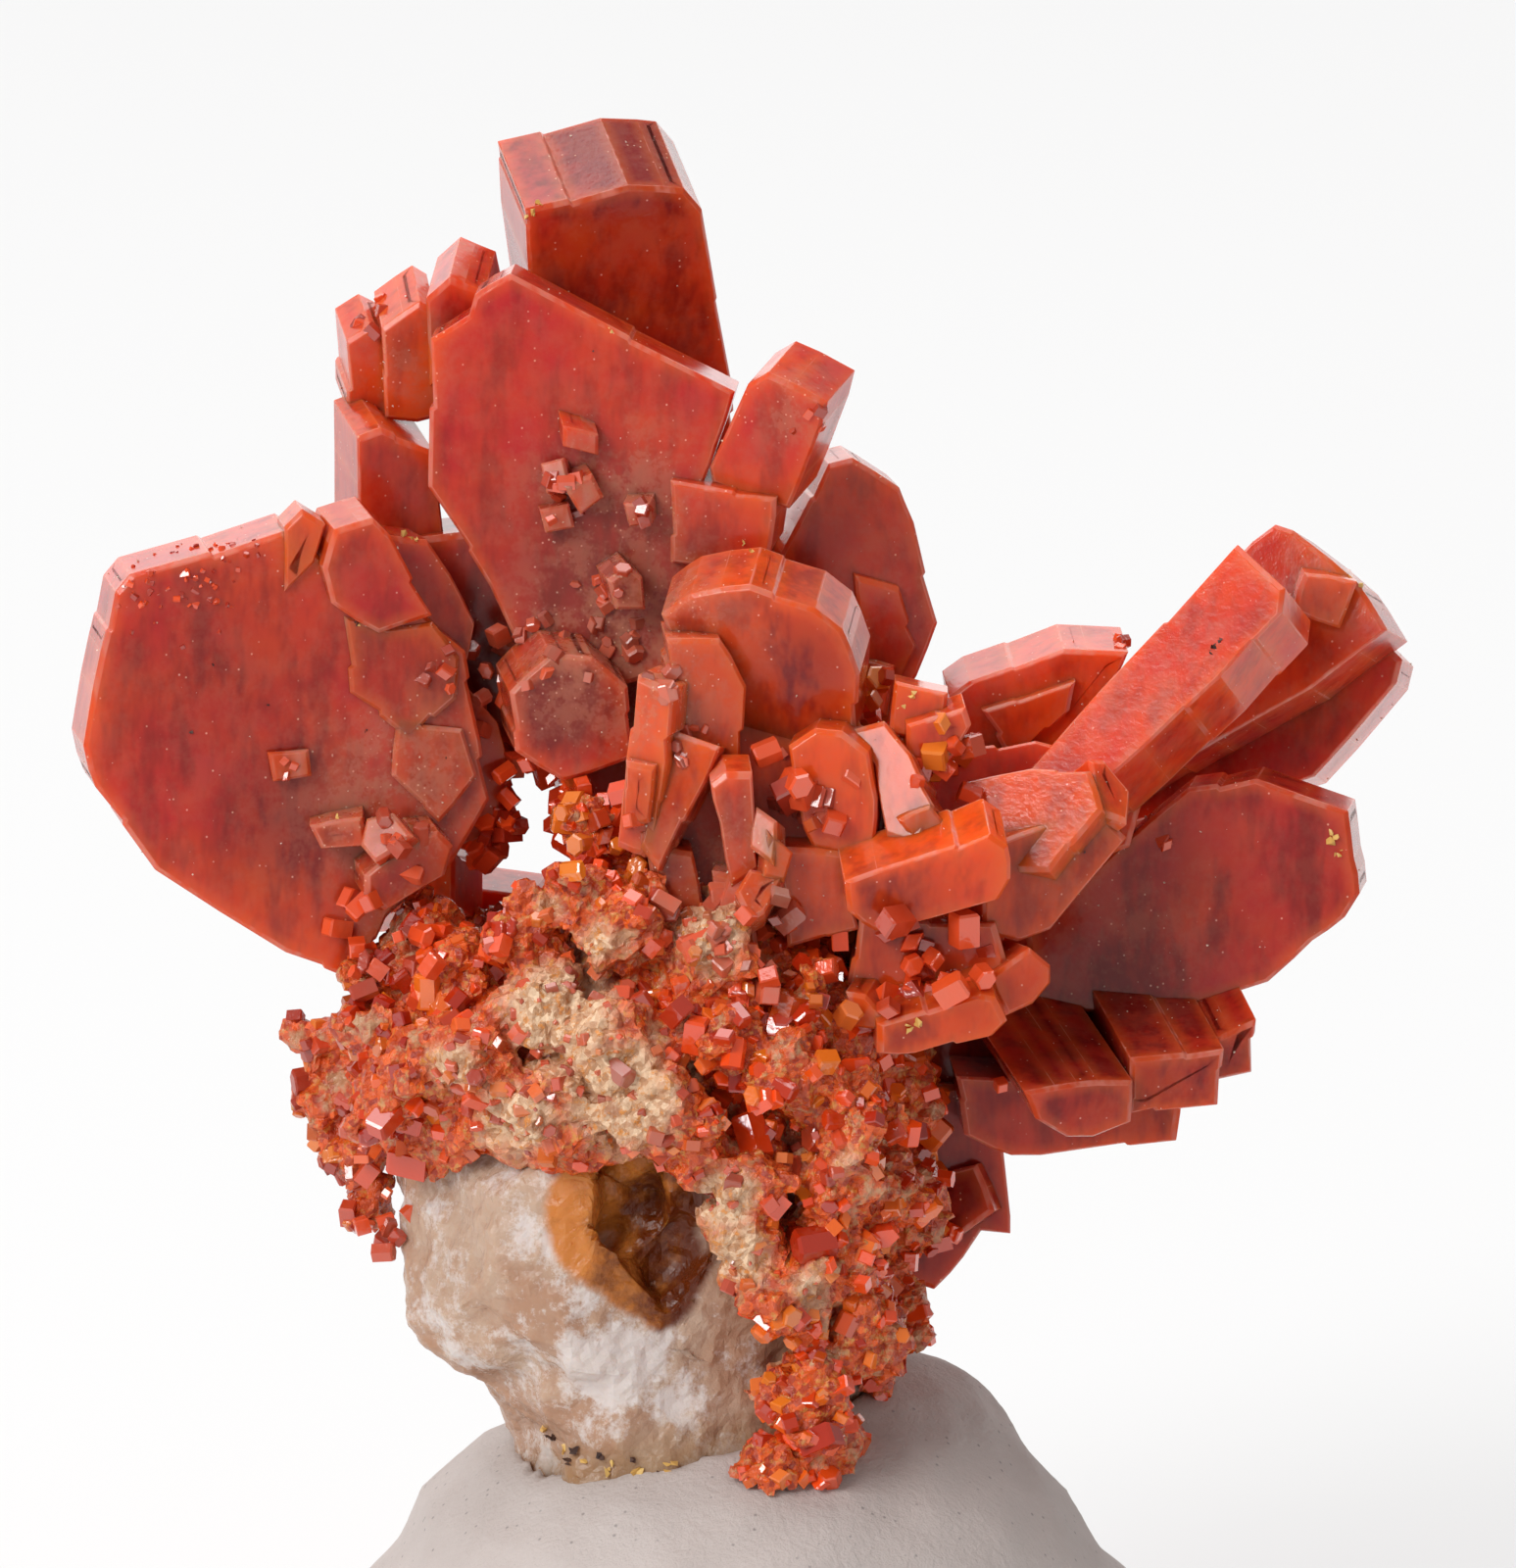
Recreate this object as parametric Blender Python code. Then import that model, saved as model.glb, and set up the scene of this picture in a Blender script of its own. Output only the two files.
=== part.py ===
"""A small vanadinite specimen: red tabular crystals on a druse crust over white calcite,
held upright by a lump of grey putty.

Everything is laid out in sight coordinates, in millimetres: across (to the right), up and
back (away from the viewer), as somebody sees the specimen who looks slightly down on it.
At the end each piece is leaned by that small angle, set on the ground plane and scaled to
metres. +Z is up, and the origin is the middle of the putty's flat base.
"""

import math
import random

import bmesh
import bpy
from mathutils import Vector

METRES = 0.001                       # the layout is in millimetres
SIGHT_ANGLE = math.radians(10.0)     # how far the line of sight looks down
SIGHT_HEIGHT = 4.0                   # height of the sight frame's zero above the base
SIGHT_BACK = -1.2                    # puts the specimen's weight over the putty
GAP = 0.06                           # clearance between neighbouring pieces
EDGE = 0.14                          # width of the small bevels on the crystals' edges
BURIED = 1.45                        # a thinner crystal's back is hidden, and stays square
FLAT = math.radians(0.2)             # faces that differ by less are merged after a cut
SEED = 7

WALL_SIDES = 12                      # corners of each level of the rock, core and putty

KNOB_POINTS = 9                      # corners of each lump of the crust
PUTTY_SIDES = 16
# height above the base, radius, middle across, middle back
PUTTY_LEVELS = [
    (0.0, 6.9, -0.3, 0.0), (0.3, 7.25, -0.3, 0.0), (1.6, 7.15, -0.3, 0.0), (2.6, 6.75, -0.3, 0.0),
    (3.3, 6.15, -0.3, 0.0), (4.2, 5.6, -0.4, 0.1), (5.0, 4.75, -0.35, 0.3), (5.7, 3.8, 0.1, 0.6),
    (6.3, 2.8, 0.5, 0.9), (6.8, 1.3, 0.8, 1.2),
]

# up, middle across, middle back, half width, half depth
CALCITE_LEVELS = [
    (-0.5, -1.5, 0.3, 1.9, 1.8), (0.5, -1.45, 0.3, 2.5, 2.3), (1.6, -1.4, 0.3, 2.7, 2.7),
    (2.7, -1.6, 0.2, 3.4, 3.1), (3.2, -2.1, 0.1, 4.0, 3.4), (4.2, -2.2, 0.1, 4.3, 3.6),
    (5.4, -2.3, 0.1, 4.3, 3.6), (6.5, -2.3, 0.1, 4.1, 3.4), (7.2, -2.2, 0.1, 3.3, 2.8),
]
CORE_LEVELS = [
    (5.9, -1.9, 0.2, 4.3, 3.6), (6.6, -2.0, 0.1, 4.7, 4.2), (7.6, -2.1, 0.1, 4.8, 4.4),
    (8.8, -1.7, 0.1, 4.2, 4.3), (9.8, -1.3, 0.0, 3.3, 3.9), (11.0, -0.9, 0.0, 2.3, 3.3),
    (12.4, -0.8, 0.0, 1.7, 2.4),
]

# The cavity under the crust: across, up, back, radius
CAVITY = [(-2.3, 5.4, -3.6, 1.35), (-1.8, 4.6, -3.5, 1.1), (-1.6, 4.0, -3.4, 0.8)]

# Lumps of the crust: across, up, back, radius, small crystals on it
LUMPS = [
    # granular front of the crust
    (-3.7, 8.9, -3.9, 1.0, 0), (-2.5, 8.3, -4.4, 1.1, 1), (-4.7, 8.0, -3.8, 0.95, 0),
    (-3.5, 7.3, -4.2, 1.0, 0), (-1.9, 7.2, -4.5, 1.0, 1), (-1.1, 6.4, -4.1, 0.7, 1),
    # granular matrix down the right side of the cavity
    (-0.2, 6.1, -4.0, 0.9, 0), (-0.4, 5.2, -3.7, 0.85, 0), (-0.1, 4.3, -3.4, 0.8, 0),
    # glassy red druse above it
    (-4.0, 10.05, -3.2, 0.8, 2), (-3.1, 10.7, -3.6, 0.8, 2), (-2.5, 10.2, -3.9, 0.9, 2),
    (-0.9, 9.8, -3.9, 1.0, 1),
    # red druse at the left, in front of the wing
    (-6.3, 8.3, -2.2, 0.85, 2), (-6.3, 7.4, -2.6, 0.8, 1), (-5.6, 8.0, -3.0, 0.95, 1),
    (-6.3, 9.4, -1.5, 0.9, 0), (-5.3, 9.4, -2.2, 1.0, 1), (-5.7, 10.1, -1.7, 0.7, 1),
    # red druse at the right
    (-0.6, 8.4, -4.2, 0.9, 2), (0.4, 7.9, -4.3, 0.9, 2), (1.3, 7.1, -3.9, 1.0, 3),
    (1.3, 6.1, -3.7, 0.9, 1), (2.0, 5.8, -3.0, 0.85, 0), (1.3, 8.5, -3.1, 1.0, 1),
    # the column of druse down the right side
    (1.1, 4.9, -3.0, 1.15, 2), (0.4, 3.9, -3.4, 0.85, 1), (1.4, 3.5, -2.4, 1.1, 1),
    (0.7, 2.4, -2.8, 1.1, 1), (0.9, 1.4, -2.2, 0.95, 0), (0.1, 1.0, -2.6, 0.8, 1),
    (1.9, 3.9, -0.5, 1.1, 1), (1.5, 2.2, 0.1, 1.1, 0), (2.2, 5.6, -0.3, 1.1, 1),
    (2.2, 7.4, -0.6, 1.1, 1),
    # the wing of druse that hangs at the left, further back
    (-6.6, 8.4, 0.4, 0.9, 0), (-7.4, 8.2, 0.7, 0.65, 2), (-7.2, 7.3, 0.7, 0.75, 1),
    (-7.0, 6.4, 0.7, 0.7, 1), (-6.6, 5.5, 0.7, 0.55, 1),
    # the back, which nobody sees from the front
    (-5.0, 8.0, 3.0, 1.3, 1), (-2.6, 8.3, 3.9, 1.4, 1), (0.0, 7.2, 3.7, 1.4, 1),
    (-4.5, 9.6, 1.9, 1.2, 0), (1.6, 9.0, 2.0, 1.3, 0),
]

def face_normal(turn, tip):
    """The way a crystal's front face looks, turned to the right and up by degrees."""
    turn, tip = math.radians(turn), math.radians(tip)
    return Vector((math.sin(turn) * math.cos(tip), math.sin(tip), -math.cos(turn) * math.cos(tip)))


def middle_of(outline):
    return (sum(x for x, _ in outline) / len(outline), sum(u for _, u in outline) / len(outline))


def depth_at(entry, across, up):
    """How far back a crystal's front face lies at a place in the sight frame."""
    back, turn, tip, _, outline = entry
    normal = face_normal(turn, tip)
    middle_across, middle_up = middle_of(outline)
    return back - (normal.x * (across - middle_across) + normal.y * (up - middle_up)) / normal.z


def riding(host, rise, turn, tip, thickness, outline):
    """A crystal or growth step that stands out of its host's face by rise."""
    back = depth_at(host, *middle_of(outline)) - rise
    return (back, host[1] + turn, host[2] + tip, thickness, outline)


# Crystals: depth of the front face's middle, turn to the right, turn up (degrees), thickness,
# then the face's corners as (across, up).
LEFT_MAIN = (-2.4, 9, -11, 1.7,
             [(-10.7, 16.2), (-8.05, 16.95), (-7.5, 16.5), (-6.3, 16.0), (-5.05, 14.9), (-4.8, 13.4),
              (-4.65, 12.4), (-5.3, 11.3), (-6.4, 10.4), (-6.9, 9.3), (-8.1, 9.8), (-10.3, 11.2),
              (-11.3, 12.6), (-11.5, 13.3), (-11.2, 14.9), (-10.95, 15.9)])
LEFT_PLATE = [
    LEFT_MAIN,
    riding(LEFT_MAIN, 0.15, 0, 0, 1.0, [(-8.1, 17.0), (-7.8, 17.3), (-7.4, 17.05), (-7.6, 16.4),
                                        (-8.1, 15.9)]),
    riding(LEFT_MAIN, 0.35, 4, -4, 1.6, [(-7.45, 16.3), (-7.25, 16.95), (-6.6, 17.15), (-6.3, 16.85),
                                         (-5.6, 15.5), (-6.5, 15.2), (-7.3, 15.7)]),
    (-1.4, 14, -8, 1.6, [(-6.5, 16.9), (-5.7, 16.8), (-5.3, 16.2), (-4.9, 15.4), (-5.1, 14.4),
                         (-4.5, 13.7), (-4.25, 12.8), (-4.7, 11.7), (-6.3, 11.2), (-7.0, 14.0)]),
    # growth steps
    riding(LEFT_MAIN, 0.12, 0, 0, 0.6, [(-10.5, 15.5), (-7.9, 15.95), (-7.2, 15.0), (-7.9, 13.2),
                                        (-9.4, 12.6), (-10.8, 13.9)]),
    riding(LEFT_MAIN, 0.3, 0, 2, 0.7, [(-7.1, 15.5), (-6.4, 15.3), (-5.6, 15.4), (-5.15, 14.8),
                                       (-5.2, 14.1), (-6.0, 13.4), (-7.0, 14.2)]),
    riding(LEFT_MAIN, 0.25, 0, 4, 0.8, [(-6.2, 13.8), (-5.1, 13.6), (-4.85, 12.8), (-5.5, 12.0),
                                        (-6.3, 12.8)]),
    # small crystals on the plate
    riding(LEFT_MAIN, 0.9, -29, 26, 1.3, [(-6.75, 12.1), (-6.3, 12.2), (-5.95, 11.8), (-6.6, 11.35),
                                          (-6.85, 11.65)]),
    riding(LEFT_MAIN, 0.5, -9, -9, 0.9, [(-7.7, 11.95), (-6.8, 12.1), (-6.7, 11.6), (-7.5, 11.55)]),
    riding(LEFT_MAIN, 0.8, 6, -9, 1.3, [(-6.75, 11.1), (-5.9, 11.8), (-5.5, 11.85), (-5.25, 11.6),
                                        (-5.4, 11.1), (-6.4, 10.5), (-6.75, 10.75)]),
    riding(LEFT_MAIN, 0.25, -4, 6, 0.6, [(-8.4, 13.2), (-7.7, 13.25), (-7.65, 12.8), (-8.3, 12.7)]),
]

TALL = (0.2, 13, -29, 2.6,
        [(-4.05, 22.4), (-2.3, 22.8), (-1.35, 22.75), (-1.05, 22.4), (-0.55, 19.5), (-0.4, 17.6),
         (-3.6, 17.6), (-4.0, 21.4)])
CENTRAL = (-2.0, -3, -8, 1.5,
           [(-4.3, 21.3), (-0.5, 19.3), (-0.8, 18.4), (-1.1, 17.6), (-1.0, 15.8), (-1.4, 14.6),
            (-3.7, 14.0), (-4.65, 16.0), (-5.7, 17.7), (-5.65, 20.2), (-5.0, 20.6), (-4.9, 20.95)])
TOP = [
    # the tall crystal, which leans towards the viewer, and what it stands on
    TALL,
    riding(TALL, 0.15, 0, 0, 0.9, [(-3.0, 22.2), (-1.4, 22.3), (-1.2, 21.3), (-3.0, 21.2)]),
    (-1.0, 0, -12, 3.0, [(-4.0, 19.4), (-1.2, 18.9), (-1.3, 14.6), (-3.4, 14.4)]),
    # the large central plate with its stepped upper left edge
    CENTRAL,
    riding(CENTRAL, 0.12, 0, 0, 0.6, [(-5.3, 20.2), (-4.4, 20.9), (-1.6, 19.5), (-1.6, 17.0),
                                      (-2.6, 15.4), (-4.4, 16.6), (-5.3, 18.0)]),
    riding(CENTRAL, 1.5, 11, -7, 2.0, [(-4.3, 14.2), (-3.6, 14.85), (-2.9, 14.8), (-2.3, 14.3),
                                       (-2.2, 13.1), (-3.4, 12.7), (-4.2, 13.2)]),
    # small blocks on the plate
    riding(CENTRAL, 0.55, 11, -17, 0.9, [(-3.4, 18.7), (-2.8, 18.55), (-2.8, 18.2), (-3.4, 18.35)]),
    riding(CENTRAL, 0.45, -9, 16, 0.8, [(-3.8, 18.1), (-3.4, 18.2), (-3.3, 17.8), (-3.7, 17.6)]),
    riding(CENTRAL, 0.6, 15, -10, 0.9, [(-3.4, 17.7), (-2.9, 17.9), (-2.7, 17.5), (-3.1, 17.2)]),
    riding(CENTRAL, 0.45, 8, -2, 0.8, [(-3.8, 17.3), (-3.3, 17.4), (-3.2, 17.0), (-3.7, 16.9)]),
    riding(CENTRAL, 0.5, -7, -12, 0.8, [(-2.4, 17.4), (-1.95, 17.4), (-1.9, 17.05), (-2.3, 17.0)]),
    riding(CENTRAL, 0.9, 15, -7, 1.3, [(-2.65, 16.1), (-2.3, 16.35), (-2.05, 16.15), (-2.0, 15.6),
                                       (-2.5, 15.6)]),
    # the blocks left of the plate
    (0.4, 10, -24, 1.5, [(-7.1, 20.2), (-6.7, 20.45), (-6.4, 20.3), (-6.35, 18.95), (-6.8, 18.75),
                         (-7.1, 19.0)]),
    (0.0, 6, -24, 1.7, [(-6.5, 20.4), (-5.85, 20.85), (-5.6, 20.7), (-5.5, 18.9), (-5.9, 18.8),
                        (-6.45, 18.85)]),
    (-0.5, -6, -24, 1.9, [(-5.75, 20.9), (-5.35, 21.25), (-4.75, 21.0), (-4.5, 19.8), (-5.7, 19.4)]),
    (-0.2, 14, -20, 2.0, [(-6.9, 18.55), (-6.5, 18.7), (-5.6, 18.3), (-5.3, 15.6), (-6.4, 15.4),
                          (-6.9, 16.4)]),
    (0.1, 0, -10, 1.8, [(-6.3, 16.8), (-4.6, 17.0), (-3.2, 14.0), (-3.6, 12.9), (-5.0, 13.6)]),
    # the barrel on its right edge and the crystal that carries it
    (-2.7, -20, -22, 1.6, [(-0.3, 19.4), (0.05, 19.6), (1.05, 19.1), (0.95, 18.7), (0.4, 17.3),
                           (-0.9, 17.75), (-0.95, 18.0)]),
    (-2.3, -8, -12, 1.7, [(-1.6, 17.8), (0.2, 17.5), (0.1, 16.6), (-0.6, 16.2), (-1.6, 16.4)]),
]

FRONT = [
    # the thick orange plate
    (-3.8, -8, -26, 1.6, [(-1.75, 15.5), (-1.25, 15.85), (-0.25, 16.0), (0.85, 15.6), (1.3, 15.25),
                          (1.6, 14.5), (1.55, 13.5), (0.6, 13.2), (-0.4, 13.3), (-1.4, 14.7)]),
    # prisms under it, left to right
    (-4.0, 5, -15, 1.3, [(-1.65, 15.1), (-0.75, 15.1), (-0.3, 14.3), (-0.4, 12.6), (-1.3, 12.6),
                         (-1.65, 13.6)]),
    (-4.4, -22, -10, 1.1, [(-2.15, 14.5), (-1.55, 14.25), (-1.65, 13.0), (-1.9, 11.4), (-2.5, 11.6),
                           (-2.35, 13.1)]),
    (-4.5, -15, -14, 0.9, [(-2.35, 13.05), (-1.85, 12.95), (-1.95, 12.0), (-2.4, 11.9)]),
    (-4.3, -10, 2, 0.9, [(-1.6, 13.6), (-0.75, 13.3), (-1.0, 12.7), (-1.8, 11.2), (-2.1, 11.6)]),
    (-4.6, 4, -20, 1.0, [(-0.9, 12.65), (-0.65, 12.85), (-0.2, 12.85), (-0.1, 11.2), (-0.55, 10.9),
                         (-0.75, 12.0)]),
    (-4.7, -12, 10, 0.8, [(-0.15, 12.3), (0.2, 12.05), (0.15, 11.3), (-0.25, 11.6)]),
    (-4.7, 14, -5, 0.8, [(0.05, 11.9), (0.5, 11.5), (0.35, 11.0), (0.0, 11.1)]),
    (-4.7, 0, 16, 0.9, [(-0.5, 10.85), (-0.25, 11.25), (0.35, 11.15), (0.0, 10.5), (-0.25, 10.35)]),
    (-4.1, -6, -12, 1.4, [(0.4, 13.3), (0.85, 13.6), (1.3, 13.55), (1.75, 13.2), (1.9, 12.4),
                          (1.85, 11.6), (1.0, 11.25), (0.65, 11.9)]),
    (-4.0, -14, 12, 1.2, [(1.45, 13.6), (2.0, 13.75), (2.45, 13.2), (2.85, 12.3), (2.6, 11.6),
                          (2.05, 11.8), (1.85, 13.0)]),
    (-4.3, 10, -14, 0.9, [(2.25, 12.05), (2.8, 12.3), (3.05, 12.0), (2.6, 11.6)]),
    (-3.4, 5, -18, 0.9, [(2.4, 13.65), (3.4, 13.95), (3.5, 13.65), (3.0, 12.8), (2.4, 12.9)]),
    (-3.2, 0, -8, 1.0, [(2.2, 14.4), (3.1, 14.2), (3.0, 13.4), (2.1, 13.5)]),
    (-4.8, 6, -28, 1.4, [(1.35, 11.0), (1.9, 11.2), (3.8, 11.8), (4.1, 11.6), (4.15, 11.05),
                         (3.95, 10.7), (1.9, 10.15), (1.4, 10.5)]),
    (-3.7, 5, -18, 1.1, [(-2.0, 11.6), (-1.2, 11.5), (-1.0, 10.4), (-1.8, 10.2)]),
    (-3.8, -8, -12, 1.1, [(-0.9, 11.2), (-0.3, 11.1), (-0.1, 9.8), (-0.9, 9.9)]),
    (-3.9, 4, -12, 1.4, [(0.2, 11.6), (1.4, 11.5), (1.6, 10.2), (0.4, 9.9)]),
    # the block that reaches back to the core
    (-3.2, 0, 0, 2.4, [(-1.5, 14.8), (1.2, 14.4), (2.2, 12.6), (1.8, 10.6), (-1.2, 10.4),
                       (-1.9, 12.4)]),
    # the tilted plate at the right of the bunch
    (-3.2, -15, 18, 1.6, [(3.3, 12.7), (4.5, 12.95), (5.5, 12.9), (5.7, 12.25), (4.8, 11.2),
                          (3.4, 11.2)]),
    (-3.2, 22, -10, 1.7, [(5.65, 12.25), (6.15, 11.75), (4.85, 10.2), (4.3, 10.0), (3.7, 10.2),
                          (3.7, 11.6)]),
    (-3.0, 30, 22, 1.2, [(5.5, 13.1), (5.75, 13.1), (6.2, 12.55), (6.15, 12.0), (5.6, 12.2)]),
    # prisms at the lower right of the bunch
    (-4.3, 8, -28, 1.5, [(1.9, 8.6), (3.65, 9.1), (3.9, 9.05), (4.1, 8.65), (3.85, 8.4), (2.5, 8.1),
                         (1.9, 8.1)]),
    (-4.2, -14, -20, 1.1, [(1.35, 9.15), (1.7, 9.1), (2.05, 8.7), (1.9, 8.5), (1.5, 8.55)]),
    (-3.6, 22, -8, 1.2, [(4.5, 9.9), (4.85, 9.6), (4.85, 9.3), (4.55, 8.95), (4.1, 8.75), (3.8, 9.4)]),
    (-3.6, 0, -10, 1.8, [(1.6, 10.4), (3.9, 10.3), (4.2, 9.3), (2.2, 8.8), (1.4, 9.3)]),
]

BLADE = (-0.4, 7, -8, 1.8,
         [(1.1, 18.1), (1.5, 18.2), (2.3, 17.7), (2.55, 17.1), (2.95, 15.4), (2.6, 14.5), (2.1, 13.7),
          (0.9, 13.2), (-0.3, 14.6), (0.3, 16.6)])
UPPER_RIGHT = [
    BLADE,
    riding(BLADE, 0.15, 3, -6, 0.8, [(1.55, 16.2), (2.3, 16.0), (2.6, 15.0), (2.2, 14.2), (1.6, 14.4)]),
    riding(BLADE, 0.3, -17, 16, 1.0, [(1.5, 14.9), (2.2, 14.7), (2.0, 13.9), (1.4, 13.7)]),
    (0.3, 0, 0, 2.2, [(-0.6, 16.9), (0.6, 16.9), (1.4, 13.6), (0.2, 12.7), (-1.0, 14.0)]),
]

SHARP = (-2.2, -17, 19, 1.8,
         [(8.0, 16.75), (8.8, 16.0), (8.75, 15.6), (7.7, 14.5), (6.4, 13.3), (5.4, 12.4), (4.2, 12.6),
          (5.6, 14.2)])
RIGHT = [
    SHARP,
    riding(SHARP, 0.12, 0, 0, 0.7, [(7.9, 16.3), (8.4, 15.8), (7.6, 14.9), (6.5, 14.0), (6.0, 14.4)]),
    # the two behind it
    (0.9, -12, 6, 2.0, [(8.3, 16.8), (8.7, 17.1), (9.0, 17.0), (10.1, 16.1), (10.6, 15.3),
                        (9.3, 14.3), (7.7, 13.4), (5.6, 12.2), (5.0, 13.2)]),
    (0.3, 4, -10, 1.4, [(9.2, 16.25), (10.1, 16.1), (9.8, 15.3), (9.0, 15.6)]),
    (2.4, -8, 4, 1.8, [(9.8, 15.4), (10.6, 15.1), (10.9, 14.8), (10.8, 14.4), (9.4, 12.8),
                       (8.4, 12.5), (5.6, 11.8), (6.0, 13.0)]),
    # the one that points at them from the left
    (0.2, 4, -15, 1.8, [(3.15, 14.15), (3.5, 14.4), (5.1, 14.95), (6.2, 14.9), (5.9, 14.3),
                        (5.2, 13.2), (4.2, 12.4), (3.3, 12.6)]),
    (0.0, 6, -18, 0.9, [(3.7, 13.9), (5.3, 14.4), (5.2, 13.9), (4.2, 13.0)]),
    # what they grow from
    (-0.9, 0, 0, 3.2, [(2.6, 13.2), (4.6, 13.4), (6.6, 12.9), (6.2, 11.6), (4.4, 10.9), (2.3, 11.6)]),
]

DARK = (-0.7, -6, -8, 1.6,
        [(7.2, 12.6), (8.35, 12.75), (9.9, 12.2), (10.0, 11.4), (10.1, 10.8), (9.85, 10.4), (9.3, 10.0),
         (8.55, 9.3), (7.0, 8.8), (4.6, 8.8), (4.4, 10.2), (5.8, 11.4)])
LOWER_RIGHT = [
    # the large dark plate
    DARK,
    riding(DARK, 0.12, 0, 0, 0.6, [(7.4, 12.1), (9.5, 11.8), (9.6, 10.8), (8.3, 9.7), (6.4, 9.6),
                                   (6.2, 11.0)]),
    # the fan of thick blades under it
    (-2.6, 20, -27, 3.6, [(4.4, 7.45), (5.3, 7.6), (6.25, 7.62), (6.22, 6.92), (5.58, 6.67),
                          (5.13, 6.67), (4.6, 6.98)]),
    (-2.0, 16, -27, 3.4, [(6.2, 8.0), (7.8, 8.15), (7.7, 7.2), (6.15, 7.05)]),
    (-1.4, 14, -27, 2.8, [(7.6, 8.3), (8.35, 8.65), (8.28, 7.75), (7.6, 7.6)]),
    (-1.0, 4, -12, 2.4, [(3.25, 7.7), (7.1, 7.5), (7.0, 6.6), (4.7, 6.35), (4.2, 6.35), (3.4, 6.7)]),
    (0.3, 0, -16, 2.4, [(2.6, 8.9), (4.6, 9.3), (6.9, 8.9), (7.0, 7.8), (5.0, 7.4), (2.8, 7.2)]),
    # plates that hang behind the crust at the lower right
    (0.5, 6, -8, 1.4, [(2.3, 7.6), (4.0, 7.5), (4.2, 5.3), (4.2, 5.0), (3.7, 5.05), (3.4, 4.6),
                       (2.9, 4.05), (2.4, 4.2), (2.2, 5.4)]),
    (0.15, -14, -4, 0.9, [(2.6, 6.0), (3.6, 6.2), (3.9, 5.4), (3.1, 4.8)]),
]

REAR = [
    (3.4, 6, 8, 1.6, [(-4.9, 19.3), (-2.4, 19.6), (-1.2, 18.0), (-1.4, 14.8), (-2.6, 12.4),
                      (-4.6, 13.4), (-5.4, 16.4)]),
    (2.6, -20, 12, 1.5, [(-9.8, 15.2), (-7.6, 16.3), (-5.9, 15.2), (-5.2, 13.6), (-5.3, 10.6),
                         (-7.4, 10.4), (-9.9, 12.4)]),
    (4.0, 18, 6, 1.5, [(-0.6, 17.0), (1.3, 17.6), (2.2, 15.6), (1.9, 12.6), (0.4, 11.2), (-1.0, 13.0)]),
    (3.6, 24, -4, 1.6, [(2.2, 13.8), (5.0, 14.6), (7.6, 13.6), (8.0, 11.6), (5.0, 9.8), (1.6, 10.2)]),
    (3.4, 12, -16, 1.7, [(1.8, 9.9), (4.6, 10.2), (6.4, 8.8), (5.4, 7.4), (2.8, 7.0), (1.4, 8.2)]),
    (3.9, -12, -14, 1.6, [(-6.6, 10.6), (-5.2, 10.9), (-2.2, 10.5), (-1.8, 9.2), (-4.2, 8.8),
                          (-6.4, 9.8)]),
    (4.6, 0, 14, 1.5, [(-2.6, 13.6), (-0.4, 13.9), (0.8, 12.0), (0.4, 9.6), (-1.6, 9.0), (-2.8, 11.0)]),
    (4.4, 30, 10, 1.2, [(-3.4, 14.8), (-2.4, 15.2), (-1.6, 14.2), (-2.2, 12.6), (-3.1, 13.6)]),
    (4.6, -24, -8, 1.2, [(0.6, 14.2), (1.8, 14.4), (2.3, 13.2), (1.4, 11.8), (0.5, 12.4)]),
    (2.4, 0, 0, 2.4, [(-4.0, 14.6), (-0.2, 15.2), (1.9, 13.0), (2.0, 10.0), (-2.9, 9.6), (-3.1, 12.6),
                      (-3.9, 13.6)]),
    (2.9, 0, 0, 1.8, [(-5.6, 15.6), (-3.2, 15.4), (-3.4, 13.8), (-5.5, 13.7)]),
    (2.9, 0, 0, 1.6, [(-5.8, 10.5), (-2.6, 10.4), (-2.8, 9.4), (-5.6, 9.5)]),
]

# larger single crystals that belong to the crust
CRUST_CRYSTALS = [
    (-4.5, -10, -10, 0.9, [(0.3, 8.6), (0.6, 9.6), (1.0, 9.5), (0.75, 8.45)]),
    (-2.9, 10, 5, 1.4, [(-3.35, 12.2), (-3.0, 12.5), (-2.4, 12.2), (-2.1, 11.4), (-2.9, 11.5)]),
    (-3.9, -8, -14, 1.2, [(-2.2, 11.2), (-1.7, 11.3), (-1.5, 10.2), (-2.0, 10.0)]),
    (-4.9, 12, -16, 1.0, [(-1.5, 8.8), (-0.9, 8.8), (-0.8, 8.3), (-1.4, 8.25)]),
    (-4.8, -10, 10, 1.0, [(0.9, 8.1), (1.4, 8.0), (1.3, 7.5), (0.8, 7.6)]),
]

# name: (table, colour, roughness)
CRYSTAL_GROUPS = {
    "front_crystals": (FRONT, (0.52, 0.06, 0.015), 0.3),
    "left_plate_crystals": (LEFT_PLATE, (0.42, 0.035, 0.02), 0.28),
    "top_crystals": (TOP, (0.36, 0.025, 0.015), 0.28),
    "upper_right_crystals": (UPPER_RIGHT, (0.45, 0.04, 0.015), 0.3),
    "right_crystals": (RIGHT, (0.45, 0.04, 0.02), 0.3),
    "lower_right_crystals": (LOWER_RIGHT, (0.3, 0.02, 0.015), 0.3),
    "rear_crystals": (REAR, (0.38, 0.03, 0.015), 0.3),
}


def clear_scene():
    """Removes whatever the start-up file holds."""
    for thing in list(bpy.data.objects):
        bpy.data.objects.remove(thing, do_unlink=True)


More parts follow.
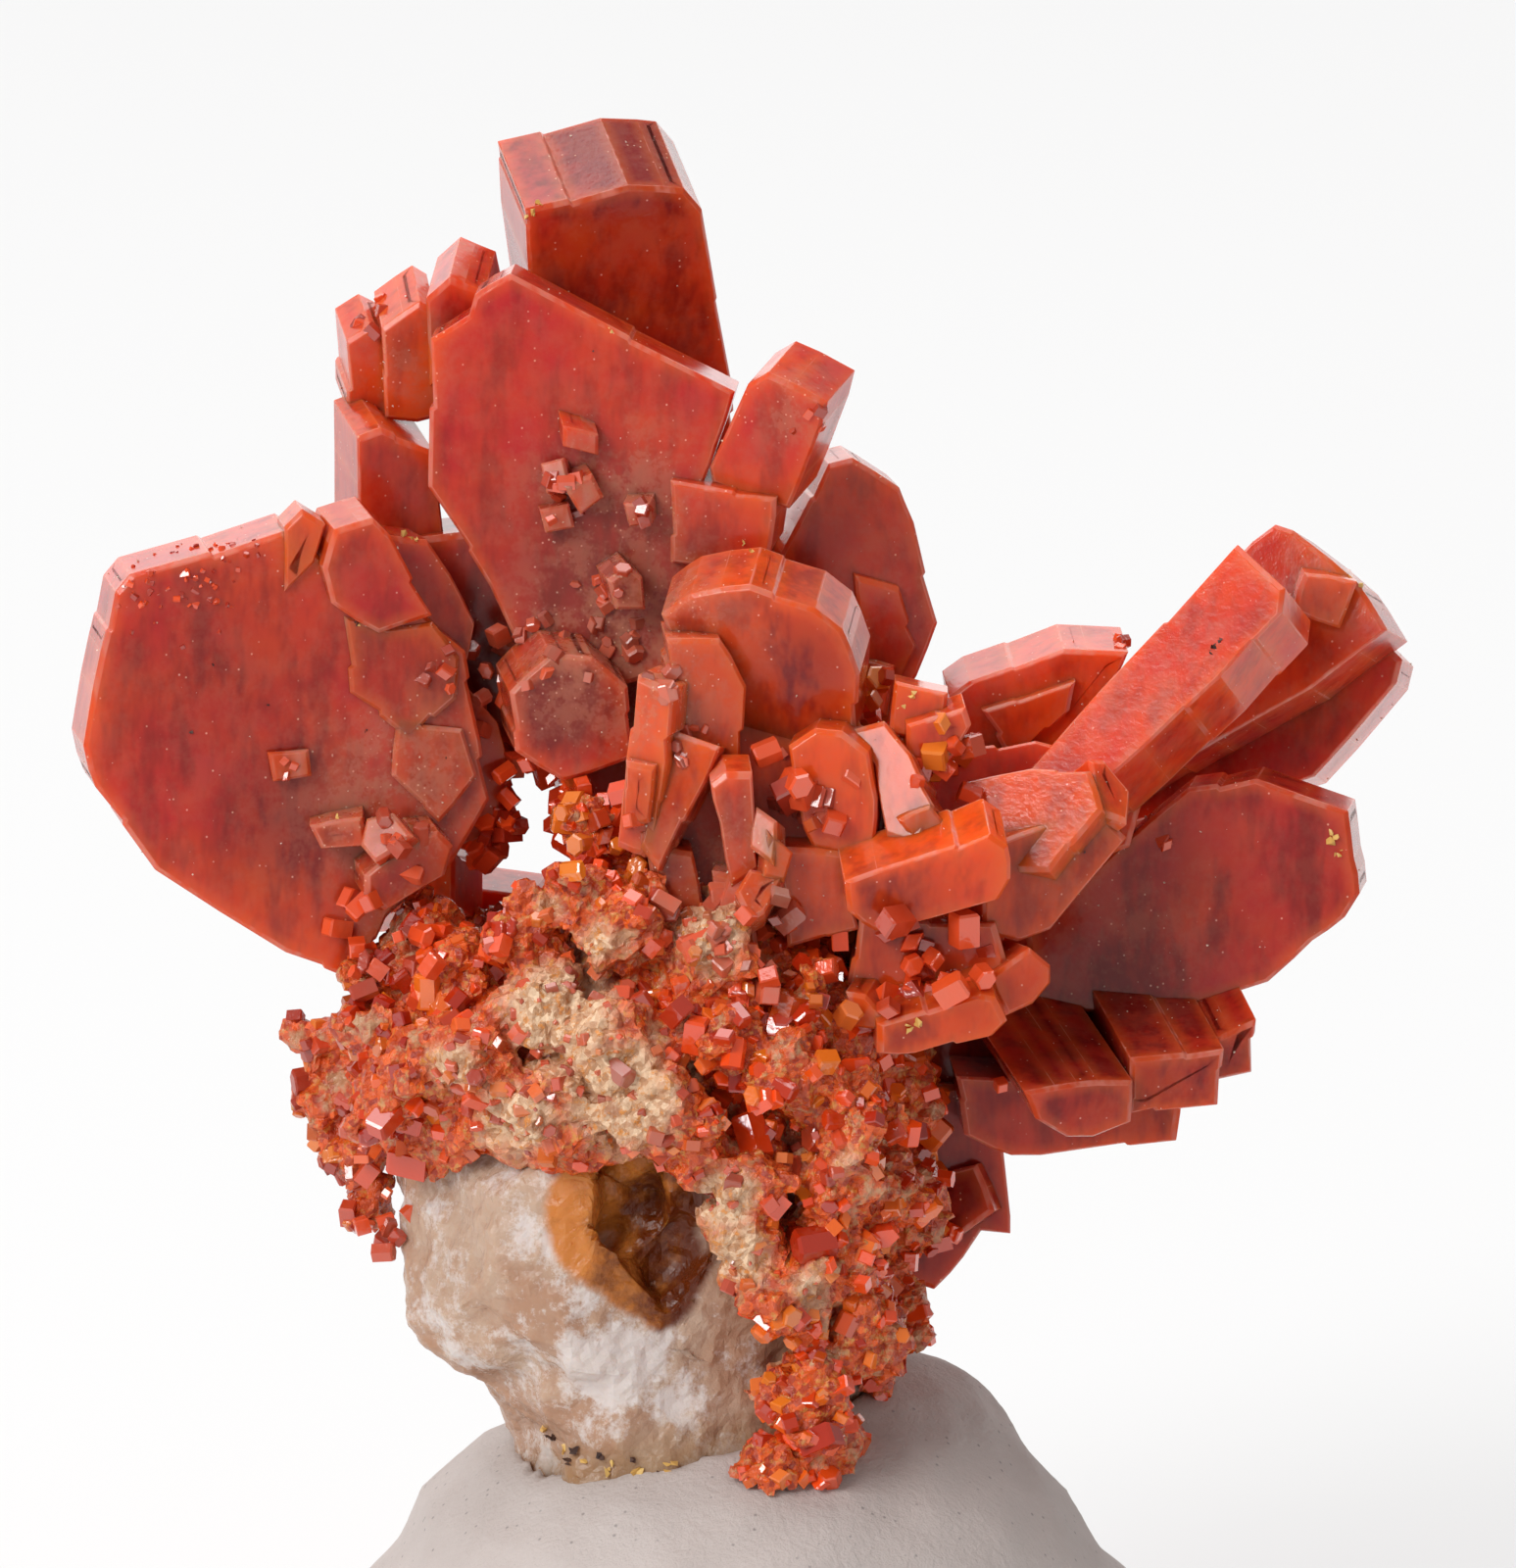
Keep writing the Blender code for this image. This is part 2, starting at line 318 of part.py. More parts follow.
def new_object(name, form):
    """Makes an object from a bmesh, in flat triangles with their normals pointing out."""
    form.normal_update()
    bmesh.ops.recalc_face_normals(form, faces=form.faces)
    bmesh.ops.triangulate(form, faces=form.faces)
    mesh = bpy.data.meshes.new(name)
    form.to_mesh(mesh)
    form.free()
    thing = bpy.data.objects.new(name, mesh)
    bpy.context.collection.objects.link(thing)
    return thing


def loft(rings):
    """Joins rings of points of equal length into one closed bmesh with flat ends."""
    form = bmesh.new()
    rows = [[form.verts.new(point) for point in ring] for ring in rings]
    for low, high in zip(rows, rows[1:]):
        for index in range(len(low)):
            after = (index + 1) % len(low)
            form.faces.new((low[index], low[after], high[after], high[index]))
    form.faces.new(list(reversed(rows[0])))
    form.faces.new(rows[-1])
    return form


def crystal(entry, grow=0.0):
    """One flat-faced crystal: its front face extruded straight back, with small edge bevels.

    grow makes it larger all round, for cutting its seat into a neighbour.
    """
    _, turn, tip, thickness, outline = entry
    normal = face_normal(turn, tip)
    face = [Vector((across, up, depth_at(entry, across, up))) for across, up in outline]
    middle = sum(face, Vector()) / len(face)
    reach = sum((point - middle).length for point in face) / len(face)
    edge = min(EDGE, reach * 0.25, thickness * 0.25)
    wide, narrow = 1.0 + grow / reach, 1.0 - (edge - grow) / reach

    def ring(scale, depth):
        return [middle + (point - middle) * scale - normal * depth for point in face]

    rings = [ring(narrow, -grow), ring(wide, edge - grow)]
    if thickness > BURIED:
        rings.append(ring(wide, thickness - edge + grow))
        rings.append(ring(narrow, thickness + grow))
    else:
        rings.append(ring(wide, thickness + grow))
    return loft(rings)


def knob(entry, chance, grow=0.0):
    """An angular lump: the hull of points scattered over a ball."""
    across, up, back, radius = entry[:4]
    form = bmesh.new()
    for index in range(KNOB_POINTS):
        height = 1.0 - 2.0 * (index + 0.5) / KNOB_POINTS
        angle = index * 2.399963 + chance.uniform(-0.3, 0.3)
        flat = math.sqrt(1.0 - height * height)
        size = radius * chance.uniform(0.95, 1.15) + grow
        form.verts.new((across + size * flat * math.cos(angle), up + size * height,
                        back + size * flat * math.sin(angle)))
    hull = bmesh.ops.convex_hull(form, input=form.verts)
    inside = [part for part in hull["geom_interior"] if isinstance(part, bmesh.types.BMVert)]
    bmesh.ops.delete(form, geom=inside, context="VERTS")
    return form


def grain(spot, size, chance):
    """One small crystal of the druse, a block turned at random."""
    form = bmesh.new()
    bmesh.ops.create_cube(form, size=1.0)
    stretch = Vector((chance.uniform(0.7, 1.3), chance.uniform(0.6, 1.0), chance.uniform(0.8, 1.5)))
    turned = Vector([chance.uniform(-1.0, 1.0) for _ in range(3)]).to_track_quat("Z", "Y")
    for vert in form.verts:
        vert.co = Vector(spot) + turned @ (vert.co * stretch * size)
    return form


def wall(levels, chance, rough, grow=0.0):
    """An uneven upright body from levels of (up, across, back, half width, half depth)."""
    rings = []
    for index, (up, across, back, wide, deep) in enumerate(levels):
        ring = []
        for corner in range(WALL_SIDES):
            angle = math.tau * (corner + 0.5 * (index % 2)) / WALL_SIDES
            size = 1.0 + chance.uniform(-rough, rough)
            ring.append(Vector((across + (wide * size + grow) * math.cos(angle), up,
                                back + (deep * size + grow) * math.sin(angle))))
        rings.append(ring)
    if grow:
        rings[0] = [point - Vector((0, grow, 0)) for point in rings[0]]
        rings[-1] = [point + Vector((0, grow, 0)) for point in rings[-1]]
    return loft(rings)


def combine(target, others, operation):
    """Joins others to the target, or cuts them out of it, and removes them."""
    for other in others:
        step = target.modifiers.new(operation, "BOOLEAN")
        step.operation = operation
        step.solver = "EXACT"
        step.object = other
    depsgraph = bpy.context.evaluated_depsgraph_get()
    mesh = bpy.data.meshes.new_from_object(target.evaluated_get(depsgraph))
    target.modifiers.clear()
    target.data = mesh
    for other in others:
        bpy.data.objects.remove(other, do_unlink=True)
    keep_largest_body(target.data)
    return target


def is_closed(form):
    return all(len(edge.link_faces) == 2 for edge in form.edges)


def keep_largest_body(mesh):
    """Merges flat neighbours where that keeps the body closed, and drops a cut's loose crumbs."""
    form = bmesh.new()
    form.from_mesh(mesh)
    bmesh.ops.dissolve_degenerate(form, dist=0.0005, edges=form.edges)
    merged = form.copy()
    bmesh.ops.dissolve_limit(merged, angle_limit=FLAT, verts=merged.verts, edges=merged.edges)
    bmesh.ops.triangulate(merged, faces=merged.faces)
    if is_closed(merged):
        form, merged = merged, form
    merged.free()
    left = set(form.faces)
    bodies = []
    while left:
        body, reached = set(), [left.pop()]
        while reached:
            face = reached.pop()
            body.add(face)
            for edge in face.edges:
                for near in edge.link_faces:
                    if near in left:
                        left.discard(near)
                        reached.append(near)
        bodies.append(body)
    bodies.sort(key=lambda body: sum(face.calc_area() for face in body))
    crumbs = [face for body in bodies[:-1] for face in body]
    bmesh.ops.delete(form, geom=crumbs, context="FACES")
    bmesh.ops.triangulate(form, faces=form.faces)
    form.to_mesh(mesh)
    form.free()


def reach_of(thing):
    """The lowest and highest corner of an object's mesh."""
    spots = [vert.co for vert in thing.data.vertices]
    low = Vector([min(spot[axis] for spot in spots) for axis in range(3)])
    high = Vector([max(spot[axis] for spot in spots) for axis in range(3)])
    return low, high


def meets(first, second):
    """Whether the boxes round two objects overlap."""
    low_a, high_a = reach_of(first)
    low_b, high_b = reach_of(second)
    return all(low_a[axis] < high_b[axis] and low_b[axis] < high_a[axis] for axis in range(3))


def cut_seats(target, cutters):
    """Cuts out of the target each cutter that reaches it, and removes them all."""
    near = [cutter for cutter in cutters if meets(target, cutter)]
    for cutter in cutters:
        if cutter not in near:
            bpy.data.objects.remove(cutter, do_unlink=True)
    return combine(target, near, "DIFFERENCE")


def crystal_group(name, table):
    """All crystals of one table, grown together into one solid."""
    first, *rest = [new_object(name, crystal(entry)) for entry in table]
    return combine(first, rest, "UNION")


def seat_cutters(table):
    return [new_object("seat", crystal(entry, GAP)) for entry in table]


def druse_crust():
    """The granular core with its lumps, each lump studded with small crystals."""
    chance = random.Random(SEED)
    core = new_object("druse_crust", wall(CORE_LEVELS, chance, 0.08))
    pieces = [new_object("crystal", crystal(entry)) for entry in CRUST_CRYSTALS]
    heart = Vector((-1.5, 7.0, 0.2))
    for entry in LUMPS:
        across, up, back, radius, grains = entry
        pieces.append(new_object("lump", knob(entry, chance)))
        outward = (Vector((across, up, back)) - heart).normalized()
        for _ in range(grains):
            lean = Vector([chance.uniform(-0.9, 0.9) for _ in range(3)])
            spot = Vector((across, up, back)) + (outward + lean).normalized() * radius * 0.9
            pieces.append(new_object("grain", grain(spot, chance.uniform(0.3, 0.52), chance)))
    return combine(core, pieces, "UNION")


def calcite_matrix(grow=0.0):
    """The white gangue. The same seed gives the grown copy the same facets."""
    return new_object("calcite_matrix", wall(CALCITE_LEVELS, random.Random(SEED + 1), 0.07, grow))


def cavity_cutters():
    chance = random.Random(SEED + 2)
    return [new_object("cavity", knob(entry, chance)) for entry in CAVITY]


def putty_mount(grow=0.0):
    """The lump of putty, in its own upright frame, with thumb-pressed unevenness."""
    chance = random.Random(SEED + 3)
    rings = []
    for index, (height, radius, across, back) in enumerate(PUTTY_LEVELS):
        ring = []
        for corner in range(PUTTY_SIDES):
            angle = math.tau * (corner + 0.5 * (index % 2)) / PUTTY_SIDES
            press = 0.02 * math.sin(3.0 * angle + 1.0) + chance.uniform(-0.012, 0.012)
            size = radius * (1.0 + press) + grow
            ring.append(Vector((across + size * math.cos(angle), back + size * math.sin(angle),
                                height + grow)))
        rings.append(ring)
    return new_object("putty_mount", loft(rings))


def stand_up(thing):
    """Leans a piece from sight coordinates into the upright frame, still in millimetres."""
    sine, cosine = math.sin(SIGHT_ANGLE), math.cos(SIGHT_ANGLE)
    form = bmesh.new()
    form.from_mesh(thing.data)
    for vert in form.verts:
        across, up, back = vert.co
        vert.co = Vector((across, up * sine + back * cosine + SIGHT_BACK,
                          SIGHT_HEIGHT + up * cosine - back * sine))
    bmesh.ops.reverse_faces(form, faces=form.faces)      # the two frames differ in handedness
    form.to_mesh(thing.data)
    form.free()
    return thing


def finish(thing, name, colour, roughness):
    """Names a piece, gives it its material and brings it to metres."""
    thing.name = name
    thing.data.name = name
    for vert in thing.data.vertices:
        vert.co = vert.co * METRES
    material = bpy.data.materials.new(name)
    material.use_nodes = True
    shader = material.node_tree.nodes["Principled BSDF"]
    shader.inputs["Base Color"].default_value = (*colour, 1.0)
    shader.inputs["Roughness"].default_value = roughness
    shader.inputs["Metallic"].default_value = 0.0
    thing.data.materials.clear()
    thing.data.materials.append(material)
    for face in thing.data.polygons:
        face.use_smooth = False


def build():
    clear_scene()
    tables = {name: table for name, (table, _, _) in CRYSTAL_GROUPS.items()}
    crystals = {}
    for name, table in tables.items():
        group = crystal_group(name, table)
        for earlier in crystals:
            group = cut_seats(group, seat_cutters(tables[earlier]))
        crystals[name] = group

    calcite = combine(calcite_matrix(), cavity_cutters(), "DIFFERENCE")
    crust = druse_crust()
    crust = cut_seats(crust, [calcite_matrix(GAP)] + cavity_cutters())
    for table in tables.values():
        crust = cut_seats(crust, seat_cutters(table))
    for name, group in crystals.items():
        crystals[name] = cut_seats(group, [calcite_matrix(GAP)])

    putty = putty_mount()
    for thing in [calcite, crust, *crystals.values()]:
        stand_up(thing)
    crust = cut_seats(crust, [putty_mount(GAP)])
    putty = cut_seats(putty, [stand_up(calcite_matrix(GAP))])

    finish(putty, "putty_mount", (0.46, 0.41, 0.4), 0.75)
    finish(calcite, "calcite_matrix", (0.75, 0.64, 0.58), 0.45)
    finish(crust, "druse_crust", (0.6, 0.22, 0.1), 0.55)
    for name, (_, colour, roughness) in CRYSTAL_GROUPS.items():
        finish(crystals[name], name, colour, roughness)


build()
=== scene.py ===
"""The look of a vanadinite specimen: glassy red crystals, druse crust, calcite and putty.

Places are given in sight coordinates, in millimetres: across (to the right), up and back (away
from the viewer), as somebody sees the specimen who looks slightly down on it. stand_up() leans
them into the upright frame, in metres, where the solids are.
"""

import math
import random
from bisect import bisect
from itertools import accumulate

import bmesh
import bpy
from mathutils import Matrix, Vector, noise
from mathutils.bvhtree import BVHTree


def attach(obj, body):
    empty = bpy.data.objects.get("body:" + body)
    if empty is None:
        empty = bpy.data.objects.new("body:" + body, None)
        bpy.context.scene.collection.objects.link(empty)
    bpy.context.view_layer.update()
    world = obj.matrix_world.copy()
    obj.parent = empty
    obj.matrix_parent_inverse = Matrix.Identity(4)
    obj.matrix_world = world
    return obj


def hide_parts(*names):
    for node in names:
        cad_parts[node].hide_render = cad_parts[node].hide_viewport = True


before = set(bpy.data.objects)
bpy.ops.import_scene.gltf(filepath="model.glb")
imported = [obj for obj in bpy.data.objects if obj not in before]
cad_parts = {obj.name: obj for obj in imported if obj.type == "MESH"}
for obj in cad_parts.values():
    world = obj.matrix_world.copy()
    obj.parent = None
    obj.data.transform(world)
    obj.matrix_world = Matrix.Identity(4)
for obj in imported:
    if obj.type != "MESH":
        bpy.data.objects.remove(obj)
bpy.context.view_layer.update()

METRES = 0.001
SIGHT_ANGLE = math.radians(10.0)     # how far the line of sight looks down
SIGHT_HEIGHT = 4.0                   # height of the sight frame's zero above the base
SIGHT_BACK = -1.2                    # puts the specimen's weight over the putty
SINE, COSINE = math.sin(SIGHT_ANGLE), math.cos(SIGHT_ANGLE)
SEED = 11


def stand_up(spot):
    """From sight coordinates in millimetres to the upright frame in metres."""
    across, up, back = spot
    return Vector((across, up * SINE + back * COSINE + SIGHT_BACK,
                   SIGHT_HEIGHT + up * COSINE - back * SINE)) * METRES


def lie_back(spot):
    """From the upright frame in metres to sight coordinates in millimetres."""
    x, y, z = spot / METRES
    y, z = y - SIGHT_BACK, z - SIGHT_HEIGHT
    return Vector((x, y * SINE + z * COSINE, y * COSINE - z * SINE))


# The crystals

def face_normal(turn, tip):
    """The way a crystal's front face looks, turned to the right and up by degrees."""
    turn, tip = math.radians(turn), math.radians(tip)
    return Vector((math.sin(turn) * math.cos(tip), math.sin(tip), -math.cos(turn) * math.cos(tip)))


def middle_of(outline):
    return (sum(x for x, _ in outline) / len(outline), sum(u for _, u in outline) / len(outline))


def depth_at(entry, across, up):
    """How far back a crystal's front face lies at a place in the sight frame."""
    back, turn, tip, _, outline = entry
    normal = face_normal(turn, tip)
    middle_across, middle_up = middle_of(outline)
    return back - (normal.x * (across - middle_across) + normal.y * (up - middle_up)) / normal.z


def riding(host, rise, turn, tip, thickness, outline):
    """A crystal or growth step that stands out of its host's face by rise."""
    back = depth_at(host, *middle_of(outline)) - rise
    return (back, host[1] + turn, host[2] + tip, thickness, outline)


# Each crystal: depth of the front face's middle, turn to the right, turn up (degrees),
# thickness, then the face's corners as (across, up).
LEFT_MAIN = (-2.4, 9, -11, 1.7,
             [(-10.7, 16.2), (-8.05, 16.95), (-7.5, 16.5), (-6.3, 16.0), (-5.05, 14.9), (-4.8, 13.4),
              (-4.65, 12.4), (-5.3, 11.3), (-6.4, 10.4), (-6.9, 9.3), (-8.1, 9.8), (-10.3, 11.2),
              (-11.3, 12.6), (-11.5, 13.3), (-11.2, 14.9), (-10.95, 15.9)])
LEFT_PLATE = [
    LEFT_MAIN,
    riding(LEFT_MAIN, 0.15, 0, 0, 1.0, [(-8.1, 17.0), (-7.8, 17.3), (-7.4, 17.05), (-7.6, 16.4),
                                        (-8.1, 15.9)]),
    riding(LEFT_MAIN, 0.35, 4, -4, 1.6, [(-7.45, 16.3), (-7.25, 16.95), (-6.6, 17.15), (-6.3, 16.85),
                                         (-5.6, 15.5), (-6.5, 15.2), (-7.3, 15.7)]),
    (-1.4, 14, -8, 1.6, [(-6.5, 16.9), (-5.7, 16.8), (-5.3, 16.2), (-4.9, 15.4), (-5.1, 14.4),
                         (-4.5, 13.7), (-4.25, 12.8), (-4.7, 11.7), (-6.3, 11.2), (-7.0, 14.0)]),
    # growth steps
    riding(LEFT_MAIN, 0.12, 0, 2, 0.7, [(-7.1, 15.5), (-6.4, 15.3), (-5.6, 15.4), (-5.15, 14.8),
                                       (-5.2, 14.1), (-6.0, 13.4), (-7.0, 14.2)]),
    riding(LEFT_MAIN, 0.2, 0, 4, 0.8, [(-6.2, 13.8), (-5.1, 13.6), (-4.85, 12.8), (-5.5, 12.0),
                                       (-6.3, 12.8)]),
    # small crystals on the plate
    riding(LEFT_MAIN, 0.9, -29, 26, 1.3, [(-6.75, 12.1), (-6.3, 12.2), (-5.95, 11.8), (-6.6, 11.35),
                                          (-6.85, 11.65)]),
    riding(LEFT_MAIN, 0.5, -9, -9, 0.9, [(-7.7, 11.95), (-6.8, 12.1), (-6.7, 11.6), (-7.5, 11.55)]),
    riding(LEFT_MAIN, 0.8, 6, -9, 1.3, [(-6.75, 11.1), (-5.9, 11.8), (-5.5, 11.85), (-5.25, 11.6),
                                        (-5.4, 11.1), (-6.4, 10.5), (-6.75, 10.75)]),
    riding(LEFT_MAIN, 0.25, -4, 6, 0.6, [(-8.4, 13.2), (-7.7, 13.25), (-7.65, 12.8), (-8.3, 12.7)]),
]

TALL = (0.2, 13, -29, 2.6,
        [(-4.05, 22.4), (-2.3, 22.8), (-1.35, 22.75), (-1.05, 22.4), (-0.55, 19.5), (-0.4, 17.6),
         (-3.6, 17.6), (-4.0, 21.4)])
CENTRAL = (-2.0, -3, -8, 1.5,
           [(-4.3, 21.3), (-0.5, 19.3), (-0.8, 18.4), (-1.1, 17.6), (-1.0, 15.8), (-1.4, 14.6),
            (-3.7, 14.0), (-4.65, 16.0), (-5.7, 17.7), (-5.65, 20.2), (-5.0, 20.6), (-4.9, 20.95)])
TOP = [
    # the tall crystal, which leans towards the viewer, and what it stands on
    TALL,
    (-1.0, 0, -12, 3.0, [(-4.0, 19.4), (-1.2, 18.9), (-1.3, 14.6), (-3.4, 14.4)]),
    # the large central plate with its stepped upper left edge
    CENTRAL,
    riding(CENTRAL, 1.5, 11, -7, 2.0, [(-4.3, 14.2), (-3.6, 14.85), (-2.9, 14.8), (-2.3, 14.3),
                                       (-2.2, 13.1), (-3.4, 12.7), (-4.2, 13.2)]),
    # small blocks on the plate
    riding(CENTRAL, 0.55, 11, -17, 0.9, [(-3.4, 18.7), (-2.8, 18.55), (-2.8, 18.2), (-3.4, 18.35)]),
    riding(CENTRAL, 0.45, -9, 16, 0.8, [(-3.8, 18.1), (-3.4, 18.2), (-3.3, 17.8), (-3.7, 17.6)]),
    riding(CENTRAL, 0.6, 15, -10, 0.9, [(-3.4, 17.7), (-2.9, 17.9), (-2.7, 17.5), (-3.1, 17.2)]),
    riding(CENTRAL, 0.45, 8, -2, 0.8, [(-3.8, 17.3), (-3.3, 17.4), (-3.2, 17.0), (-3.7, 16.9)]),
    riding(CENTRAL, 0.5, -7, -12, 0.8, [(-2.4, 17.4), (-1.95, 17.4), (-1.9, 17.05), (-2.3, 17.0)]),
    riding(CENTRAL, 0.9, 15, -7, 1.3, [(-2.65, 16.1), (-2.3, 16.35), (-2.05, 16.15), (-2.0, 15.6),
                                       (-2.5, 15.6)]),
    # the blocks left of the plate
    (0.4, 10, -24, 1.5, [(-7.1, 20.2), (-6.7, 20.45), (-6.4, 20.3), (-6.35, 18.95), (-6.8, 18.75),
                         (-7.1, 19.0)]),
    (0.0, 6, -24, 1.7, [(-6.5, 20.4), (-5.85, 20.85), (-5.6, 20.7), (-5.5, 18.9), (-5.9, 18.8),
                        (-6.45, 18.85)]),
    (-0.5, -6, -24, 1.9, [(-5.75, 20.9), (-5.35, 21.25), (-4.75, 21.0), (-4.5, 19.8), (-5.7, 19.4)]),
    (-0.2, 14, -20, 2.0, [(-6.9, 18.55), (-6.5, 18.7), (-5.6, 18.3), (-5.3, 15.6), (-6.4, 15.4),
                          (-6.9, 16.4)]),
    (0.1, 0, -10, 1.8, [(-6.3, 16.8), (-4.6, 17.0), (-3.2, 14.0), (-3.6, 12.9), (-5.0, 13.6)]),
    # the barrel on its right edge and the crystal that carries it
    (-2.7, -20, -22, 1.6, [(-0.3, 19.4), (0.05, 19.6), (1.05, 19.1), (0.95, 18.7), (0.4, 17.3),
                           (-0.9, 17.75), (-0.95, 18.0)]),
    (-2.3, -8, -12, 1.7, [(-1.6, 17.8), (0.2, 17.5), (0.1, 16.6), (-0.6, 16.2), (-1.6, 16.4)]),
]

FRONT = [
    # the thick orange plate
    (-3.8, -8, -26, 1.6, [(-1.75, 15.5), (-1.25, 15.85), (-0.25, 16.0), (0.85, 15.6), (1.3, 15.25),
                          (1.6, 14.5), (1.55, 13.5), (0.6, 13.2), (-0.4, 13.3), (-1.4, 14.7)]),
    # prisms under it, left to right
    (-4.0, 5, -15, 1.3, [(-1.65, 15.1), (-0.75, 15.1), (-0.3, 14.3), (-0.4, 12.6), (-1.3, 12.6),
                         (-1.65, 13.6)]),
    (-4.4, -22, -10, 1.1, [(-2.15, 14.5), (-1.55, 14.25), (-1.65, 13.0), (-1.9, 11.4), (-2.5, 11.6),
                           (-2.35, 13.1)]),
    (-4.5, -15, -14, 0.9, [(-2.35, 13.05), (-1.85, 12.95), (-1.95, 12.0), (-2.4, 11.9)]),
    (-4.3, -10, 2, 0.9, [(-1.6, 13.6), (-0.75, 13.3), (-1.0, 12.7), (-1.8, 11.2), (-2.1, 11.6)]),
    (-4.6, 4, -20, 1.0, [(-0.9, 12.65), (-0.65, 12.85), (-0.2, 12.85), (-0.1, 11.2), (-0.55, 10.9),
                         (-0.75, 12.0)]),
    (-4.7, -12, 10, 0.8, [(-0.15, 12.3), (0.2, 12.05), (0.15, 11.3), (-0.25, 11.6)]),
    (-4.7, 14, -5, 0.8, [(0.05, 11.9), (0.5, 11.5), (0.35, 11.0), (0.0, 11.1)]),
    (-4.7, 0, 16, 0.9, [(-0.5, 10.85), (-0.25, 11.25), (0.35, 11.15), (0.0, 10.5), (-0.25, 10.35)]),
    (-4.1, -6, -12, 1.4, [(0.4, 13.3), (0.85, 13.6), (1.3, 13.55), (1.75, 13.2), (1.9, 12.4),
                          (1.85, 11.6), (1.0, 11.25), (0.65, 11.9)]),
    (-4.0, -14, 12, 1.2, [(1.45, 13.6), (2.0, 13.75), (2.45, 13.2), (2.85, 12.3), (2.6, 11.6),
                          (2.05, 11.8), (1.85, 13.0)]),
    (-4.3, 10, -14, 0.9, [(2.25, 12.05), (2.8, 12.3), (3.05, 12.0), (2.6, 11.6)]),
    (-3.4, 5, -18, 0.9, [(2.4, 13.65), (3.4, 13.95), (3.5, 13.65), (3.0, 12.8), (2.4, 12.9)]),
    (-3.2, 0, -8, 1.0, [(2.2, 14.4), (3.1, 14.2), (3.0, 13.4), (2.1, 13.5)]),
    (-4.8, 6, -28, 1.4, [(1.35, 11.0), (1.9, 11.2), (3.8, 11.8), (4.1, 11.6), (4.15, 11.05),
                         (3.95, 10.7), (1.9, 10.15), (1.4, 10.5)]),
    (-3.7, 5, -18, 1.1, [(-2.0, 11.6), (-1.2, 11.5), (-1.0, 10.4), (-1.8, 10.2)]),
    (-3.8, -8, -12, 1.1, [(-0.9, 11.2), (-0.3, 11.1), (-0.1, 9.8), (-0.9, 9.9)]),
    (-3.9, 4, -12, 1.4, [(0.2, 11.6), (1.4, 11.5), (1.6, 10.2), (0.4, 9.9)]),
    # the block that reaches back to the core
    (-3.2, 0, 0, 2.4, [(-1.5, 14.8), (1.2, 14.4), (2.2, 12.6), (1.8, 10.6), (-1.2, 10.4),
                       (-1.9, 12.4)]),
    # the tilted plate at the right of the bunch
    (-3.2, -15, 18, 1.6, [(3.3, 12.7), (4.5, 12.95), (5.5, 12.9), (5.7, 12.25), (4.8, 11.2),
                          (3.4, 11.2)]),
    (-3.2, 22, -10, 1.7, [(5.65, 12.25), (6.15, 11.75), (4.85, 10.2), (4.3, 10.0), (3.7, 10.2),
                          (3.7, 11.6)]),
    (-3.0, 30, 22, 1.2, [(5.5, 13.1), (5.75, 13.1), (6.2, 12.55), (6.15, 12.0), (5.6, 12.2)]),
    # prisms at the lower right of the bunch
    (-4.3, 8, -28, 1.5, [(1.9, 8.6), (3.65, 9.1), (3.9, 9.05), (4.1, 8.65), (3.85, 8.4), (2.5, 8.1),
                         (1.9, 8.1)]),
    (-4.2, -14, -20, 1.1, [(1.35, 9.15), (1.7, 9.1), (2.05, 8.7), (1.9, 8.5), (1.5, 8.55)]),
    (-3.6, 22, -8, 1.2, [(4.5, 9.9), (4.85, 9.6), (4.85, 9.3), (4.55, 8.95), (4.1, 8.75), (3.8, 9.4)]),
    (-3.6, 0, -10, 1.8, [(1.6, 10.4), (3.9, 10.3), (4.2, 9.3), (2.2, 8.8), (1.4, 9.3)]),
]

BLADE = (-0.4, 7, -8, 1.8,
         [(1.1, 18.1), (1.5, 18.2), (2.3, 17.7), (2.55, 17.1), (2.95, 15.4), (2.6, 14.5), (2.1, 13.7),
          (0.9, 13.2), (-0.3, 14.6), (0.3, 16.6)])
UPPER_RIGHT = [
    BLADE,
    riding(BLADE, 0.15, 3, -6, 0.8, [(1.55, 16.2), (2.3, 16.0), (2.6, 15.0), (2.2, 14.2), (1.6, 14.4)]),
    riding(BLADE, 0.3, -17, 16, 1.0, [(1.5, 14.9), (2.2, 14.7), (2.0, 13.9), (1.4, 13.7)]),
    (0.3, 0, 0, 2.2, [(-0.6, 16.9), (0.6, 16.9), (1.4, 13.6), (0.2, 12.7), (-1.0, 14.0)]),
]

